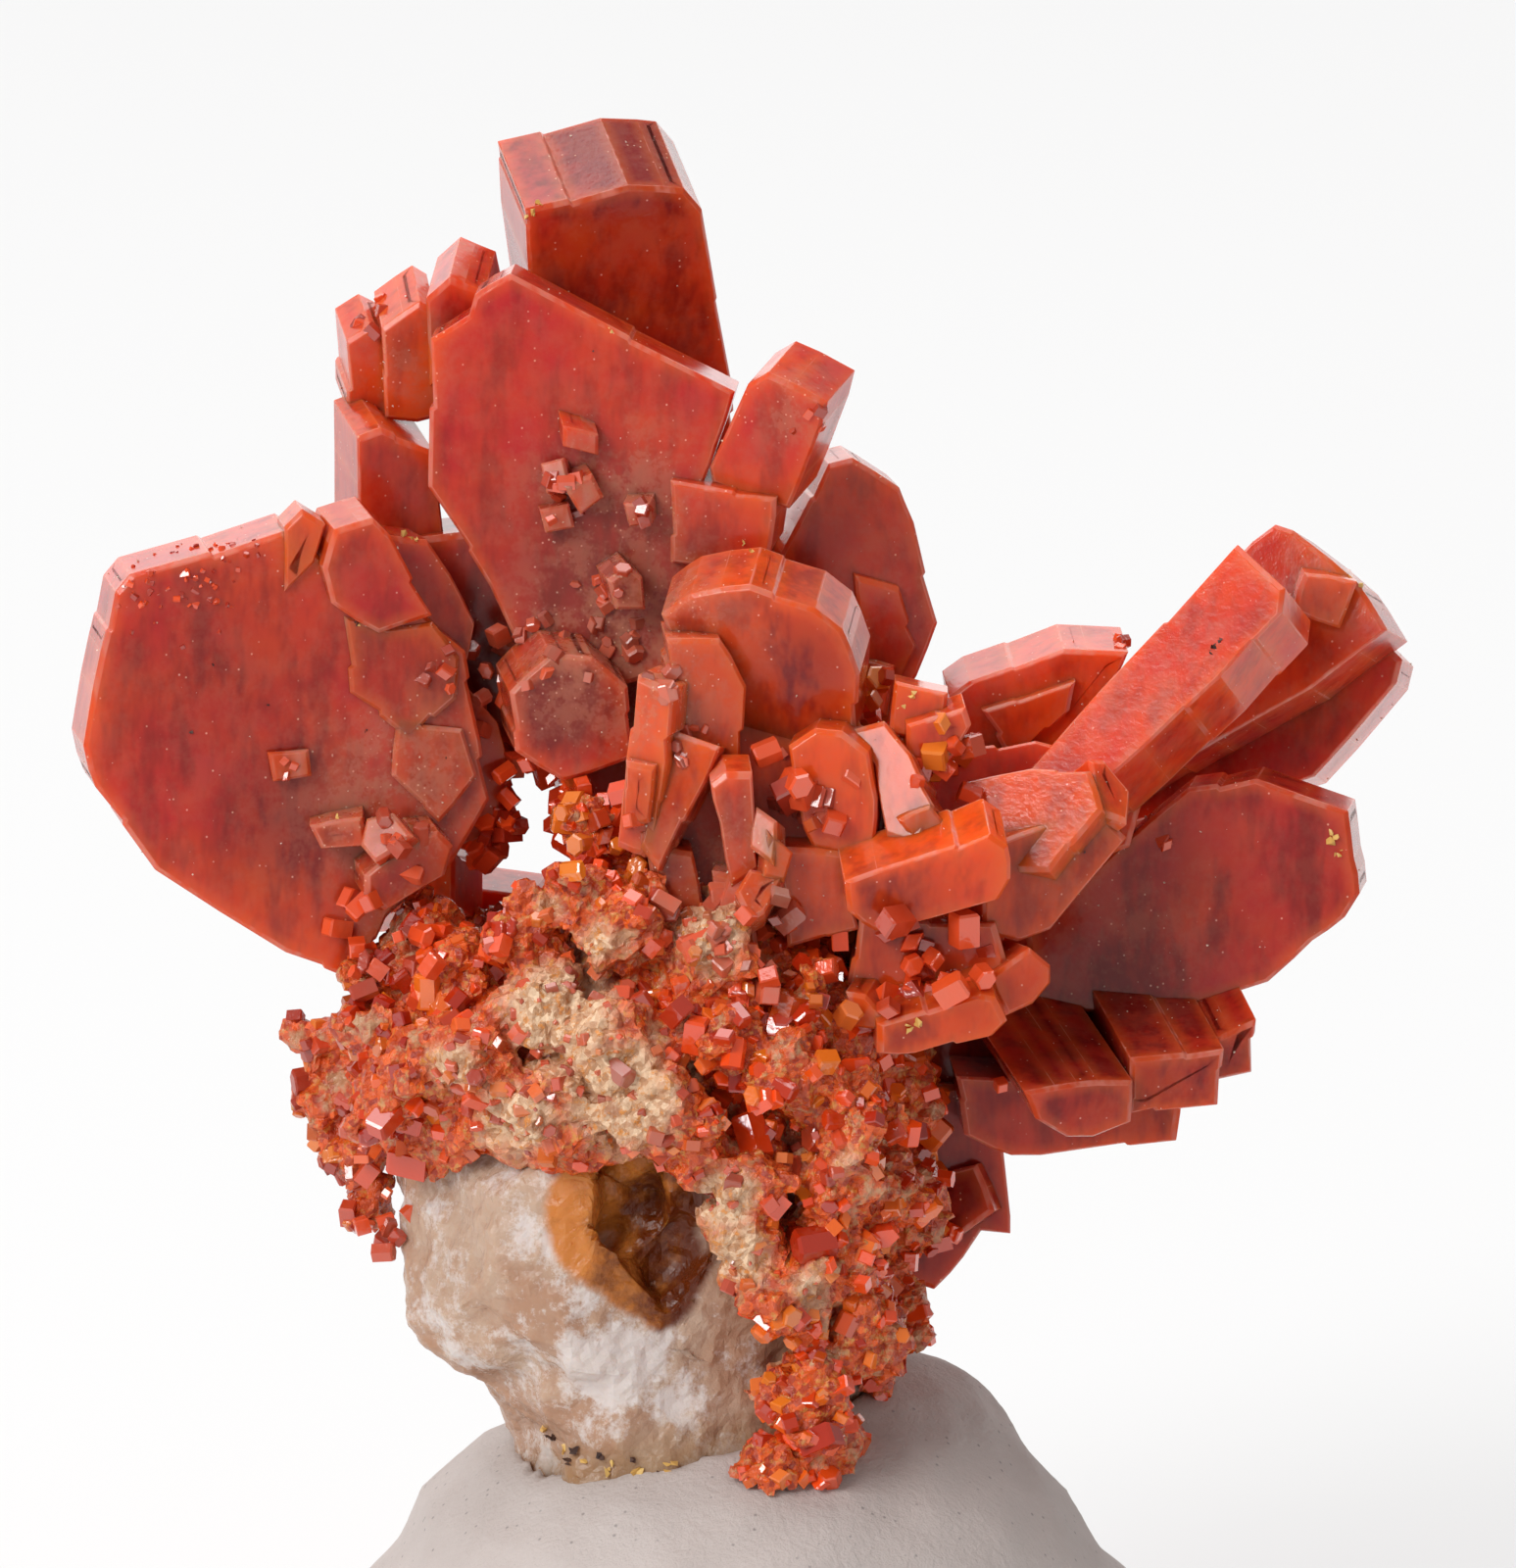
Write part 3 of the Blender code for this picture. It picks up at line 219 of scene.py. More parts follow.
SHARP = (-2.2, -17, 19, 1.8,
         [(8.0, 16.75), (8.8, 16.0), (8.75, 15.6), (7.7, 14.5), (6.4, 13.3), (5.4, 12.4), (4.2, 12.6),
          (5.6, 14.2)])
RIGHT = [
    SHARP,
    # the two behind it
    (0.9, -12, 6, 2.0, [(8.3, 16.8), (8.7, 17.1), (9.0, 17.0), (10.1, 16.1), (10.6, 15.3),
                        (9.3, 14.3), (7.7, 13.4), (5.6, 12.2), (5.0, 13.2)]),
    (0.3, 4, -10, 1.4, [(9.2, 16.25), (10.1, 16.1), (9.8, 15.3), (9.0, 15.6)]),
    (2.4, -8, 4, 1.8, [(9.8, 15.4), (10.6, 15.1), (10.9, 14.8), (10.8, 14.4), (9.4, 12.8),
                       (8.4, 12.5), (5.6, 11.8), (6.0, 13.0)]),
    # the one that points at them from the left
    (0.2, 4, -15, 1.8, [(3.15, 14.15), (3.5, 14.4), (5.1, 14.95), (6.2, 14.9), (5.9, 14.3),
                        (5.2, 13.2), (4.2, 12.4), (3.3, 12.6)]),
    (0.0, 6, -18, 0.9, [(3.7, 13.9), (5.3, 14.4), (5.2, 13.9), (4.2, 13.0)]),
    # what they grow from
    (-0.9, 0, 0, 3.2, [(2.6, 13.2), (4.6, 13.4), (6.6, 12.9), (6.2, 11.6), (4.4, 10.9), (2.3, 11.6)]),
]

DARK = (-0.7, -6, -8, 1.6,
        [(7.2, 12.6), (8.35, 12.75), (9.9, 12.2), (10.0, 11.4), (10.1, 10.8), (9.85, 10.4), (9.3, 10.0),
         (8.55, 9.3), (7.0, 8.8), (4.6, 8.8), (4.4, 10.2), (5.8, 11.4)])
LOWER_RIGHT = [
    # the large dark plate
    DARK,
    # the fan of thick blades under it
    (-2.6, 20, -27, 3.6, [(4.4, 7.45), (5.3, 7.6), (6.25, 7.62), (6.22, 6.92), (5.58, 6.67),
                          (5.13, 6.67), (4.6, 6.98)]),
    (-2.0, 16, -27, 3.4, [(6.2, 8.0), (7.8, 8.15), (7.7, 7.2), (6.15, 7.05)]),
    (-1.4, 14, -27, 2.8, [(7.6, 8.3), (8.35, 8.65), (8.28, 7.75), (7.6, 7.6)]),
    (-1.0, 4, -12, 2.4, [(3.25, 7.7), (7.1, 7.5), (7.0, 6.6), (4.7, 6.35), (4.2, 6.35), (3.4, 6.7)]),
    (0.3, 0, -16, 2.4, [(2.6, 8.9), (4.6, 9.3), (6.9, 8.9), (7.0, 7.8), (5.0, 7.4), (2.8, 7.2)]),
    # plates that hang behind the crust at the lower right
    (0.5, 6, -8, 1.4, [(2.3, 7.6), (4.0, 7.5), (4.2, 5.3), (4.2, 5.0), (3.7, 5.05), (3.4, 4.6),
                       (2.9, 4.05), (2.4, 4.2), (2.2, 5.4)]),
    (0.15, -14, -4, 0.9, [(2.6, 6.0), (3.6, 6.2), (3.9, 5.4), (3.1, 4.8)]),
]

REAR = [
    (3.4, 6, 8, 1.6, [(-4.9, 19.3), (-2.4, 19.6), (-1.2, 18.0), (-1.4, 14.8), (-2.6, 12.4),
                      (-4.6, 13.4), (-5.4, 16.4)]),
    (2.6, -20, 12, 1.5, [(-9.8, 15.2), (-7.6, 16.3), (-5.9, 15.2), (-5.2, 13.6), (-5.3, 10.6),
                         (-7.4, 10.4), (-9.9, 12.4)]),
    (4.0, 18, 6, 1.5, [(-0.6, 17.0), (1.3, 17.6), (2.2, 15.6), (1.9, 12.6), (0.4, 11.2), (-1.0, 13.0)]),
    (3.6, 24, -4, 1.6, [(2.2, 13.8), (5.0, 14.6), (7.6, 13.6), (8.0, 11.6), (5.0, 9.8), (1.6, 10.2)]),
    (3.4, 12, -16, 1.7, [(1.8, 9.9), (4.6, 10.2), (6.4, 8.8), (5.4, 7.4), (2.8, 7.0), (1.4, 8.2)]),
    (3.9, -12, -14, 1.6, [(-6.6, 10.6), (-5.2, 10.9), (-2.2, 10.5), (-1.8, 9.2), (-4.2, 8.8),
                          (-6.4, 9.8)]),
    (4.6, 0, 14, 1.5, [(-2.6, 13.6), (-0.4, 13.9), (0.8, 12.0), (0.4, 9.6), (-1.6, 9.0), (-2.8, 11.0)]),
    (4.4, 30, 10, 1.2, [(-3.4, 14.8), (-2.4, 15.2), (-1.6, 14.2), (-2.2, 12.6), (-3.1, 13.6)]),
    (4.6, -24, -8, 1.2, [(0.6, 14.2), (1.8, 14.4), (2.3, 13.2), (1.4, 11.8), (0.5, 12.4)]),
    (2.4, 0, 0, 2.4, [(-4.0, 14.6), (-0.2, 15.2), (1.9, 13.0), (2.0, 10.0), (-2.9, 9.6), (-3.1, 12.6),
                      (-3.9, 13.6)]),
    (2.9, 0, 0, 1.8, [(-5.6, 15.6), (-3.2, 15.4), (-3.4, 13.8), (-5.5, 13.7)]),
    (2.9, 0, 0, 1.6, [(-5.8, 10.5), (-2.6, 10.4), (-2.8, 9.4), (-5.6, 9.5)]),
]

# node: (table, record slot, warmth from crimson to orange, darkness, dust film, refraction)
GROUPS = {
    "left_plate_crystals": (LEFT_PLATE, "vanadinite_red", 0.4, 0.1, 0.14, 1.5),
    "top_crystals": (TOP, "vanadinite_red", 0.3, 0.12, 0.14, 1.5),
    "front_crystals": (FRONT, "vanadinite_orange", 0.9, 0.0, 0.08, 1.55),
    "upper_right_crystals": (UPPER_RIGHT, "vanadinite_orange", 0.5, 0.05, 0.2, 1.55),
    "right_crystals": (RIGHT, "vanadinite_orange", 0.5, 0.05, 0.2, 1.55),
    "lower_right_crystals": (LOWER_RIGHT, "vanadinite_dark", 0.4, 0.46, 0.1, 1.5),
    "rear_crystals": (REAR, "vanadinite_red", 0.35, 0.1, 0.06, 1.5),
}

# Places on the specimen as it is looked at: across, up, reach, strength.
# Where dust has settled:
DUSTY = [(-2.4, 15.0, 3.0, 1.0), (-6.3, 12.4, 2.4, 0.8), (-0.6, 11.0, 2.4, 0.6), (-2.6, 17.4, 2.4, 0.75),
         (-5.8, 10.0, 1.8, 0.6), (0.5, 19.0, 1.4, 0.45), (6.0, 10.4, 2.4, 0.3), (-6.2, 19.8, 1.4, 0.4)]
# Where the crystals turn orange, partly their own colour and partly a painted glow of light shining through
# them:
ORANGE = [(-7.7, 10.4, 3.6, 0.55), (-7.8, 16.8, 0.9, 1.0), (-5.4, 13.6, 2.0, 0.35), (-6.2, 19.8, 1.8, 0.5),
          (6.4, 6.9, 1.8, 0.6), (-1.4, 20.4, 1.6, 0.3), (9.7, 15.8, 0.9, 1.0), (0.2, 17.6, 1.4, 0.5), (-1.8, 21.4, 2.4, 0.7),
          (1.0, 13.4, 1.6, 0.4)]
# Where shade is painted on them:
SHADED = [(-2.3, 23.8, 2.6, 0.75), (0.7, 14.6, 1.6, 0.45), (-8.0, 12.2, 2.4, 0.6), (-3.4, 14.1, 1.6, 1.0),
          (-3.0, 16.2, 2.8, 0.6), (-9.0, 14.2, 3.0, 0.3), (-1.2, 11.6, 1.8, 0.5),
          (2.2, 10.3, 1.6, 0.5), (-4.8, 14.6, 1.2, 0.5), (2.6, 16.4, 1.2, 0.3), (6.0, 8.6, 2.4, 0.3)]
# Pale granular places in the crust:
PALE = [(-3.4, 8.7, 1.9, 1.0), (-2.4, 7.5, 1.8, 1.0), (-4.2, 7.0, 1.3, 0.9), (-5.3, 7.9, 0.9, 0.8),
        (-0.7, 5.7, 1.1, 0.9), (-0.4, 4.7, 1.1, 0.85), (-0.9, 10.2, 1.6, 0.8), (0.7, 4.2, 0.8, 0.6),
        (-2.8, 10.0, 0.8, 0.7), (0.5, 6.4, 0.8, 0.5), (-3.6, 10.6, 0.6, 0.6), (1.4, 6.3, 0.7, 0.6)]
# White frosted places on the calcite
FROST = [(-2.4, 3.0, 1.5, 1.0), (-3.6, 6.4, 1.2, 0.6), (-1.4, 2.2, 1.0, 0.7)]
# The cavity under the crust: across, up, back, radius
CAVITY = [(-2.3, 5.4, -3.6, 1.35), (-1.8, 4.6, -3.5, 1.1), (-1.6, 4.0, -3.4, 0.8)]


def nearness(spots, place):
    """How strongly a place lies in any of the spots, from 0 to 1."""
    best = 0.0
    for across, up, reach, strength in spots:
        far = math.hypot(place.x - across, place.y - up) / reach
        if far < 1.0:
            best = max(best, strength * (1.0 - far * far * (3.0 - 2.0 * far)))
    return best


def reaching(spots, table):
    """Those of the spots that reach any crystal of a table."""
    def reaches(spot, thickness, outline):
        far = spot[2] + thickness
        return all(min(side) - far < middle < max(side) + far
                   for side, middle in zip(zip(*outline), spot))

    return [spot for spot in spots if any(reaches(spot, *entry[3:]) for entry in table)]


class Pile:
    """Collects closed shapes into one mesh, with a few values for each vertex."""

    def __init__(self, *marks):
        self.verts, self.faces = [], []
        self.marks = {name: [] for name in marks}

    def add(self, form, **marks):
        """Takes a shape in. A mark is one number, or a function that gives each vertex one."""
        # a bevel leaves the order of its parts to chance, so they are put in order here
        verts = sorted(form.verts, key=lambda vert: tuple(round(value, 4) for value in vert.co))
        places = {vert: len(self.verts) + index for index, vert in enumerate(verts)}
        self.verts.extend(stand_up(vert.co) for vert in verts)
        for name, values in self.marks.items():
            mark = marks[name]
            values.extend(mark(vert) if callable(mark) else mark for vert in verts)
        rows = []
        for face in form.faces:
            # the sight frame and the upright one differ in handedness
            row = [places[vert] for vert in reversed(face.verts)]
            first = row.index(min(row))
            rows.append(row[first:] + row[:first])
        self.faces.extend(sorted(rows))
        form.free()

    def to_object(self, name):
        mesh = bpy.data.meshes.new(name)
        mesh.from_pydata(self.verts, [], self.faces)
        for key, values in self.marks.items():
            mesh.attributes.new(key, "FLOAT", "POINT").data.foreach_set("value", values)
        mesh.update()
        thing = bpy.data.objects.new(name, mesh)
        bpy.context.collection.objects.link(thing)
        return thing


def loft(rings):
    """Joins rings of points of equal length into one closed shape with flat ends."""
    form = bmesh.new()
    rows = [[form.verts.new(point) for point in ring] for ring in rings]
    for low, high in zip(rows, rows[1:]):
        for index in range(len(low)):
            after = (index + 1) % len(low)
            form.faces.new((low[index], low[after], high[after], high[index]))
    form.faces.new(list(reversed(rows[0])))
    form.faces.new(rows[-1])
    form.normal_update()
    bmesh.ops.recalc_face_normals(form, faces=form.faces)
    return form


CHAMFER = 0.07                       # width of the facets round a crystal's faces
SOFT = 0.015                         # width of the rounding on every edge
SHARP_ANGLE = math.radians(9.0)      # flatter edges stay as they are
# the rim's colour is a painted glow and a painted highlight along the edges
RIM = 0.2                            # how far from an edge the rim's colour reaches


def uneven(corners, normal, chance):
    """A crystal's outline with slight bends and small growth steps along its long edges."""
    ring = []
    middle = sum(corners, Vector()) / len(corners)
    for first, second in zip(corners, corners[1:] + corners[:1]):
        ring.append(first)
        run = second - first
        inward = (middle - first.lerp(second, 0.5))
        inward = (inward - run * inward.dot(run) / run.length_squared).normalized()
        if run.length > 1.0 and chance.random() < 0.7:
            share = chance.uniform(0.25, 0.7)
            step = chance.uniform(0.02, 0.07)
            ring.append(first + run * share)
            ring.append(first + run * (share + 0.05 / run.length) + inward * step)
        elif run.length > 0.6:
            ring.append(first + run * chance.uniform(0.35, 0.65)
                        - inward * chance.uniform(-0.01, 0.03))
    return ring


def crystal(entry, chance, chamfer=CHAMFER, soft=SOFT):
    """A flat-faced crystal with chamfered edges, and the corners of its inner faces."""
    _, turn, tip, thickness, outline = entry
    normal = face_normal(turn, tip)
    corners = [Vector((across, up, depth_at(entry, across, up))) for across, up in outline]
    face = uneven(corners, normal, chance)
    middle = sum(face, Vector()) / len(face)
    reach = sum((point - middle).length for point in face) / len(face)
    edge = min(chamfer, reach * 0.2, thickness * 0.2)
    narrow = 1.0 - edge / reach

    def ring(scale, depth):
        return [middle + (point - middle) * scale - normal * depth for point in face]

    form = loft([ring(narrow, 0.0), ring(1.0, edge), ring(1.0, thickness - edge),
                 ring(narrow, thickness)])
    sharp = [side for side in form.edges if side.calc_face_angle(0.0) > SHARP_ANGLE]
    bmesh.ops.bevel(form, geom=sharp, offset=soft, segments=2, profile=0.6, affect="EDGES",
                    clamp_overlap=True)
    wide = []
    for plane in form.faces:
        if 2.0 * plane.calc_area() / plane.calc_perimeter() > RIM * 1.2:
            wide.append(plane)
    bmesh.ops.inset_individual(form, faces=wide, thickness=RIM, use_even_offset=True)
    return form, {vert for plane in wide for vert in plane.verts}


def crystal_group(name, table, chance):
    pile = Pile("rim", "tone")
    for entry in table:
        form, inner = crystal(entry, chance)
        pile.add(form, rim=lambda vert: float(vert not in inner), tone=chance.random())
    return pile.to_object(name)


# Small crystals, crumbs and dust

def surface_spots(thing, count, chance):
    """Places spread evenly over a mesh, each with the way that the surface faces."""
    mesh = thing.data
    mesh.calc_loop_triangles()
    parts = list(mesh.loop_triangles)
    sums = list(accumulate(part.area for part in parts))
    for _ in range(count):
        part = parts[min(bisect(sums, chance.uniform(0.0, sums[-1])), len(parts) - 1)]
        first, second, third = [mesh.vertices[index].co for index in part.vertices]
        share, other = sorted((chance.random(), chance.random()))
        point = first * share + second * (other - share) + third * (1.0 - other)
        spot = lie_back(point)
        yield spot, (lie_back(point + part.normal * METRES) - spot).normalized()


def small_crystal(spot, outward, size, chance, stray=0.9):
    """A six-sided or square little prism that stands out of a surface."""
    sides = chance.choice((4, 4, 6))
    lean = Vector([chance.uniform(-stray, stray) for _ in range(3)])
    turned = (outward + lean).normalized().to_track_quat("Z", "Y")
    squash = chance.uniform(0.5, 1.0)
    height = size * chance.uniform(0.5, 1.4)
    spin = chance.uniform(0.0, math.tau)
    ring = []
    for side in range(sides):
        angle = spin + math.tau * side / sides
        ring.append(Vector((math.cos(angle) * size * 0.5, math.sin(angle) * size * 0.5 * squash, 0.0)))
    levels = [(-0.6, 1.0), (0.28, 1.0), (0.36, 0.82)]
    return loft([[spot + turned @ (point * scale + Vector((0, 0, height * level))) for point in ring]
                 for level, scale in levels])


def crumb(spot, size, chance):
    """An irregular grain."""
    form = bmesh.new()
    for _ in range(7):
        way = Vector([chance.uniform(-1.0, 1.0) for _ in range(3)]).normalized()
        form.verts.new(spot + way * size * chance.uniform(0.35, 0.6))
    hull = bmesh.ops.convex_hull(form, input=form.verts)
    inside = [part for part in hull["geom_interior"] if isinstance(part, bmesh.types.BMVert)]
    bmesh.ops.delete(form, geom=inside, context="VERTS")
    return form


# Clusters of middling crystals at the roots of the large ones:
# across, up, back, spread, how many, smallest, largest, warmth, dust
ROOTS = [
    (-0.5, 10.3, -3.9, 1.3, 34, 0.25, 0.5, 0.1, 0.9),
    (-1.9, 11.6, -3.5, 0.7, 14, 0.3, 0.6, 0.6, 0.5),
    (-6.0, 9.8, -2.1, 1.3, 44, 0.25, 0.5, 0.35, 0.3),
    (-2.8, 12.0, -2.9, 0.7, 14, 0.3, 0.55, 0.8, 0.1),
    (2.9, 13.3, -2.9, 0.8, 16, 0.3, 0.6, 0.7, 0.1),
    (2.7, 9.6, -3.7, 1.4, 40, 0.3, 0.6, 0.4, 0.2),
    (1.9, 14.2, -1.9, 0.5, 8, 0.25, 0.5, 0.8, 0.2),
    (-4.6, 14.3, -1.2, 0.8, 14, 0.25, 0.5, 0.2, 0.6),
    (0.6, 8.9, -4.0, 0.9, 26, 0.25, 0.5, 0.6, 0.2),
    (3.6, 7.6, -2.4, 0.9, 18, 0.25, 0.5, 0.3, 0.2),
    (1.0, 12.6, -3.9, 1.0, 16, 0.3, 0.55, 0.5, 0.5),
    (-4.6, 12.6, -0.4, 0.5, 26, 0.35, 0.55, 0.0, 0.1),
    (-4.7, 11.7, -0.6, 0.5, 26, 0.35, 0.5, 0.2, 0.1),
    (-4.1, 11.88, -0.8, 0.6, 60, 0.28, 0.4, 0.2, 0.1),
    (-3.5, 12.3, -1.2, 0.6, 50, 0.3, 0.5, 0.5, 0.1),
    (-3.9, 13.1, -1.0, 0.5, 20, 0.3, 0.45, 0.2, 0.1),
    (-6.65, 4.9, -0.4, 0.6, 26, 0.2, 0.4, 0.7, 0.4),
    (-7.1, 5.9, -0.6, 0.7, 24, 0.2, 0.45, 0.6, 0.4),
]


# Gaps that the light comes through, left of the front crystals: from and to across, then up
WINDOWS = [(-4.28, -3.92, 12.13, 12.83), (-4.45, -3.55, 11.05, 11.63)]
# Small crystals on the faces: across, up, spread, how many, smallest, largest, warmth, dust
SATELLITES = [
    (-3.45, 17.55, 0.4, 8, 0.2, 0.34, 0.2, 0.3), (-2.1, 17.25, 0.15, 3, 0.25, 0.36, 0.1, 0.3),
    (-2.6, 16.1, 0.4, 6, 0.2, 0.4, 0.1, 0.5), (-2.6, 15.1, 0.7, 12, 0.2, 0.4, 0.1, 0.9),
    (-4.0, 15.0, 0.8, 10, 0.2, 0.36, 0.1, 0.7), (-1.7, 14.3, 0.3, 6, 0.2, 0.36, 0.3, 0.8),
    (-6.2, 11.7, 0.5, 6, 0.2, 0.36, 0.3, 0.5), (-8.1, 12.9, 0.2, 3, 0.16, 0.28, 0.3, 0.4),
    (-1.2, 13.2, 0.5, 6, 0.2, 0.32, 0.5, 0.6), (0.6, 12.4, 0.5, 8, 0.2, 0.34, 0.5, 0.6),
    (2.9, 13.0, 0.6, 10, 0.22, 0.4, 0.5, 0.2), (6.1, 15.1, 0.3, 4, 0.16, 0.26, 0.5, 0.2),
    (-6.6, 20.6, 0.4, 5, 0.2, 0.3, 0.5, 0.2), (0.9, 18.6, 0.4, 5, 0.14, 0.26, 0.5, 0.3),
    (6.8, 11.6, 0.2, 3, 0.2, 0.3, 0.3, 0.3), (-5.5, 14.6, 0.4, 5, 0.2, 0.36, 0.1, 0.4),
    (-9.4, 16.2, 0.9, 50, 0.05, 0.14, 0.2, 0.1), (-10.3, 15.9, 0.6, 26, 0.05, 0.12, 0.2, 0.1),
]


def in_window(spot, margin):
    return any(left - margin < spot.x < right + margin and low - margin < spot.y < high + margin
               for left, right, low, high in WINDOWS)


def seen_at(trees, across, up):
    """Where the viewer's sight meets the specimen, and the way the surface faces there."""
    start = stand_up((across, up, -40.0))
    ahead = Vector((0.0, COSINE, -SINE))
    hits = [tree.ray_cast(start, ahead) for tree in trees]
    hits = [hit for hit in hits if hit[0] is not None]
    if not hits:
        return None
    point, normal, _, _ = min(hits, key=lambda hit: hit[3])
    spot = lie_back(point)
    return spot, (lie_back(point + normal * METRES) - spot).normalized()


ANCHOR = 0.35                        # a small crystal grows no farther from the rest than this


def root_crystals(things, chance):
    pile = Pile("tone", "dust", "warm")
    trees = [tree_of(thing) for thing in things]
    for across, up, back, spread, count, smallest, largest, warmth, dust in ROOTS:
        for _ in range(count):
            stray = Vector([chance.gauss(0.0, 0.45) for _ in range(3)])
            spot = Vector((across, up, back)) + stray * spread
            outward = Vector((stray.x, stray.y * 0.6, -0.8)).normalized()
            size = chance.uniform(smallest, largest)
            near = min(tree.find_nearest(stand_up(spot))[3] for tree in trees)
            if in_window(spot, size * 0.3) or near > ANCHOR * METRES:
                continue
            form = small_crystal(spot, outward, size, chance)
            pile.add(form, tone=chance.random(), dust=dust * chance.uniform(0.5, 1.2),
                     warm=warmth + chance.uniform(-0.3, 0.3))
    for across, up, spread, count, smallest, largest, warmth, dust in SATELLITES:
        for _ in range(count):
            found = seen_at(trees, chance.gauss(across, spread * 0.5), chance.gauss(up, spread * 0.5))
            if found and not in_window(found[0], 0.2):
                form = small_crystal(*found, chance.uniform(smallest, largest), chance, 1.2)
                pile.add(form, tone=chance.uniform(0.2, 1.0), dust=dust, warm=warmth)
    return pile.to_object("root_crystals")


CRUST_VOXEL = 0.11                   # fineness of the crust's surface
GRAINS = 2600                        # small crystals on the crust


def tree_of(thing):
    form = bmesh.new()
    form.from_mesh(thing.data)
    tree = BVHTree.FromBMesh(form)
    form.free()
    return tree


def copy_solid(node, name):
    """A mesh of its own with the form of a CAD node."""
    thing = bpy.data.objects.new(name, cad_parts[node].data.copy())
    thing.data.materials.clear()
    bpy.context.collection.objects.link(thing)
    return thing


def remesh(thing, voxel):
    step = thing.modifiers.new("remesh", "REMESH")
    step.mode = "VOXEL"
    step.voxel_size = voxel * METRES
    depsgraph = bpy.context.evaluated_depsgraph_get()
    mesh = bpy.data.meshes.new_from_object(thing.evaluated_get(depsgraph))
    thing.modifiers.clear()
    thing.data = mesh
    return thing


RESTING = 0.0004                     # below this height in metres nothing is moved


def roughen(thing, layers, strength=None):
    """Moves each vertex along its normal by noise: layers of (size in mm, height in mm)."""
    form = bmesh.new()
    form.from_mesh(thing.data)
    form.normal_update()
    normals = [vert.normal.copy() for vert in form.verts]
    for vert, normal in zip(form.verts, normals):
        spot = vert.co / METRES
        lift = sum(noise.noise(spot / size) * height for size, height in layers)
        if strength:
            lift *= strength(lie_back(vert.co))
        if vert.co.z > RESTING:
            vert.co += normal * lift * METRES
    form.to_mesh(thing.data)
    form.free()


def shade(thing, smooth):
    thing.data.polygons.foreach_set("use_smooth", [smooth] * len(thing.data.polygons))
    thing.data.update()
    return thing


def druse_crust():
    crust = remesh(copy_solid("druse_crust", "druse_crust_surface"), CRUST_VOXEL)
    roughen(crust, [(0.8, 0.16), (0.35, 0.16), (0.16, 0.12)])
    pale = [nearness(PALE, lie_back(vert.co)) for vert in crust.data.vertices]
    crust.data.attributes.new("pale", "FLOAT", "POINT").data.foreach_set("value", pale)
    return shade(crust, False)


def druse_grains(crust, chance):
    """Thousands of small crystals on the crust's outside, few and fine where it is pale."""
    calcite = tree_of(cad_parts["calcite_matrix"])
    pile = Pile("tone", "dust", "warm")
    for spot, outward in surface_spots(crust, GRAINS, chance):
        if calcite.find_nearest(stand_up(spot))[3] < 0.00024:
            continue
        pale = nearness(PALE, spot) if spot.z < 0.0 else 0.3
        if chance.random() < pale * 0.8:
            size = chance.uniform(0.06, 0.14)
        else:
            size = chance.uniform(0.18, 0.42) * (1.0 - 0.35 * pale)
        if chance.random() < 0.12:
            size *= 1.6
        form = small_crystal(spot, outward, size, chance)
        wing = 0.35 if spot.x < -6.0 else 0.0
        pile.add(form, tone=min(1.0, chance.random() * 0.9 + wing), dust=pale, warm=chance.random())
    return pile.to_object("druse_small_crystals")


DUST_TRIES = 9000                    # places tried for a grain of dust on the crystals


def dust_grains(things, chance):
    """Fine pale grains that lie on the crystals, mostly where dust has settled."""
    pile = Pile("tone")
    for thing in things:
        for spot, outward in surface_spots(thing, DUST_TRIES // len(things), chance):
            likely = 0.1 + 0.85 * nearness(DUSTY, spot)
            if outward.z > 0.3 or chance.random() > likely:
                continue
            size = 0.016 + 0.04 * chance.random() ** 2
            pile.add(crumb(spot + outward * size * 0.2, size, chance), tone=chance.random())
    return pile.to_object("dust_grains")


# Ochre crumbs caught on the crystals, as they are looked at: across, up, size
CRUMBS = [(-3.97, 22.35, 0.2), (-3.85, 22.5, 0.12), (-6.05, 16.85, 0.16), (-5.9, 16.8, 0.1),
          (9.68, 11.75, 0.2), (9.75, 11.5, 0.12), (2.58, 8.62, 0.2), (2.45, 8.55, 0.14),
          (-2.6, 20.35, 0.08), (0.9, 18.95, 0.09), (1.0, 18.75, 0.08), (-0.2, 16.6, 0.1),
          (-0.35, 16.75, 0.08), (10.15, 16.05, 0.2), (10.0, 16.2, 0.15), (2.5, 14.2, 0.15),
          (2.3, 14.0, 0.12), (2.65, 14.5, 0.1), (-7.2, 12.1, 0.1), (-6.9, 15.3, 0.12)]
# Ochre and dark grains round the foot of the calcite
FOOT_OCHRE = [(-3.4, 1.4, 0.25), (-3.0, 1.2, 0.2), (-2.6, 1.1, 0.2), (-2.1, 1.05, 0.2), (-1.2, 1.0, 0.25),
              (-1.6, 1.1, 0.2), (-3.7, 1.7, 0.16), (-0.8, 1.1, 0.2)]
FOOT_DARK = [(-3.6, 1.5, 0.2), (-3.2, 1.4, 0.22), (-3.3, 1.2, 0.15), (-2.2, 1.25, 0.12), (-1.0, 1.2, 0.15),
             (-2.8, 1.3, 0.14), (-1.8, 1.0, 0.1)]
# Dark specks in the same terms
SPECKS = [(-9.7, 13.55, 0.07), (-6.75, 13.57, 0.06), (-5.4, 13.1, 0.07), (-9.3, 14.7, 0.06),
          (-8.4, 14.0, 0.04), (-6.9, 15.4, 0.09), (-6.7, 15.3, 0.06), (7.6, 15.0, 0.1),
          (7.7, 15.1, 0.08), (7.55, 14.9, 0.07), (5.4, 11.5, 0.04), (-2.9, 20.0, 0.04)]


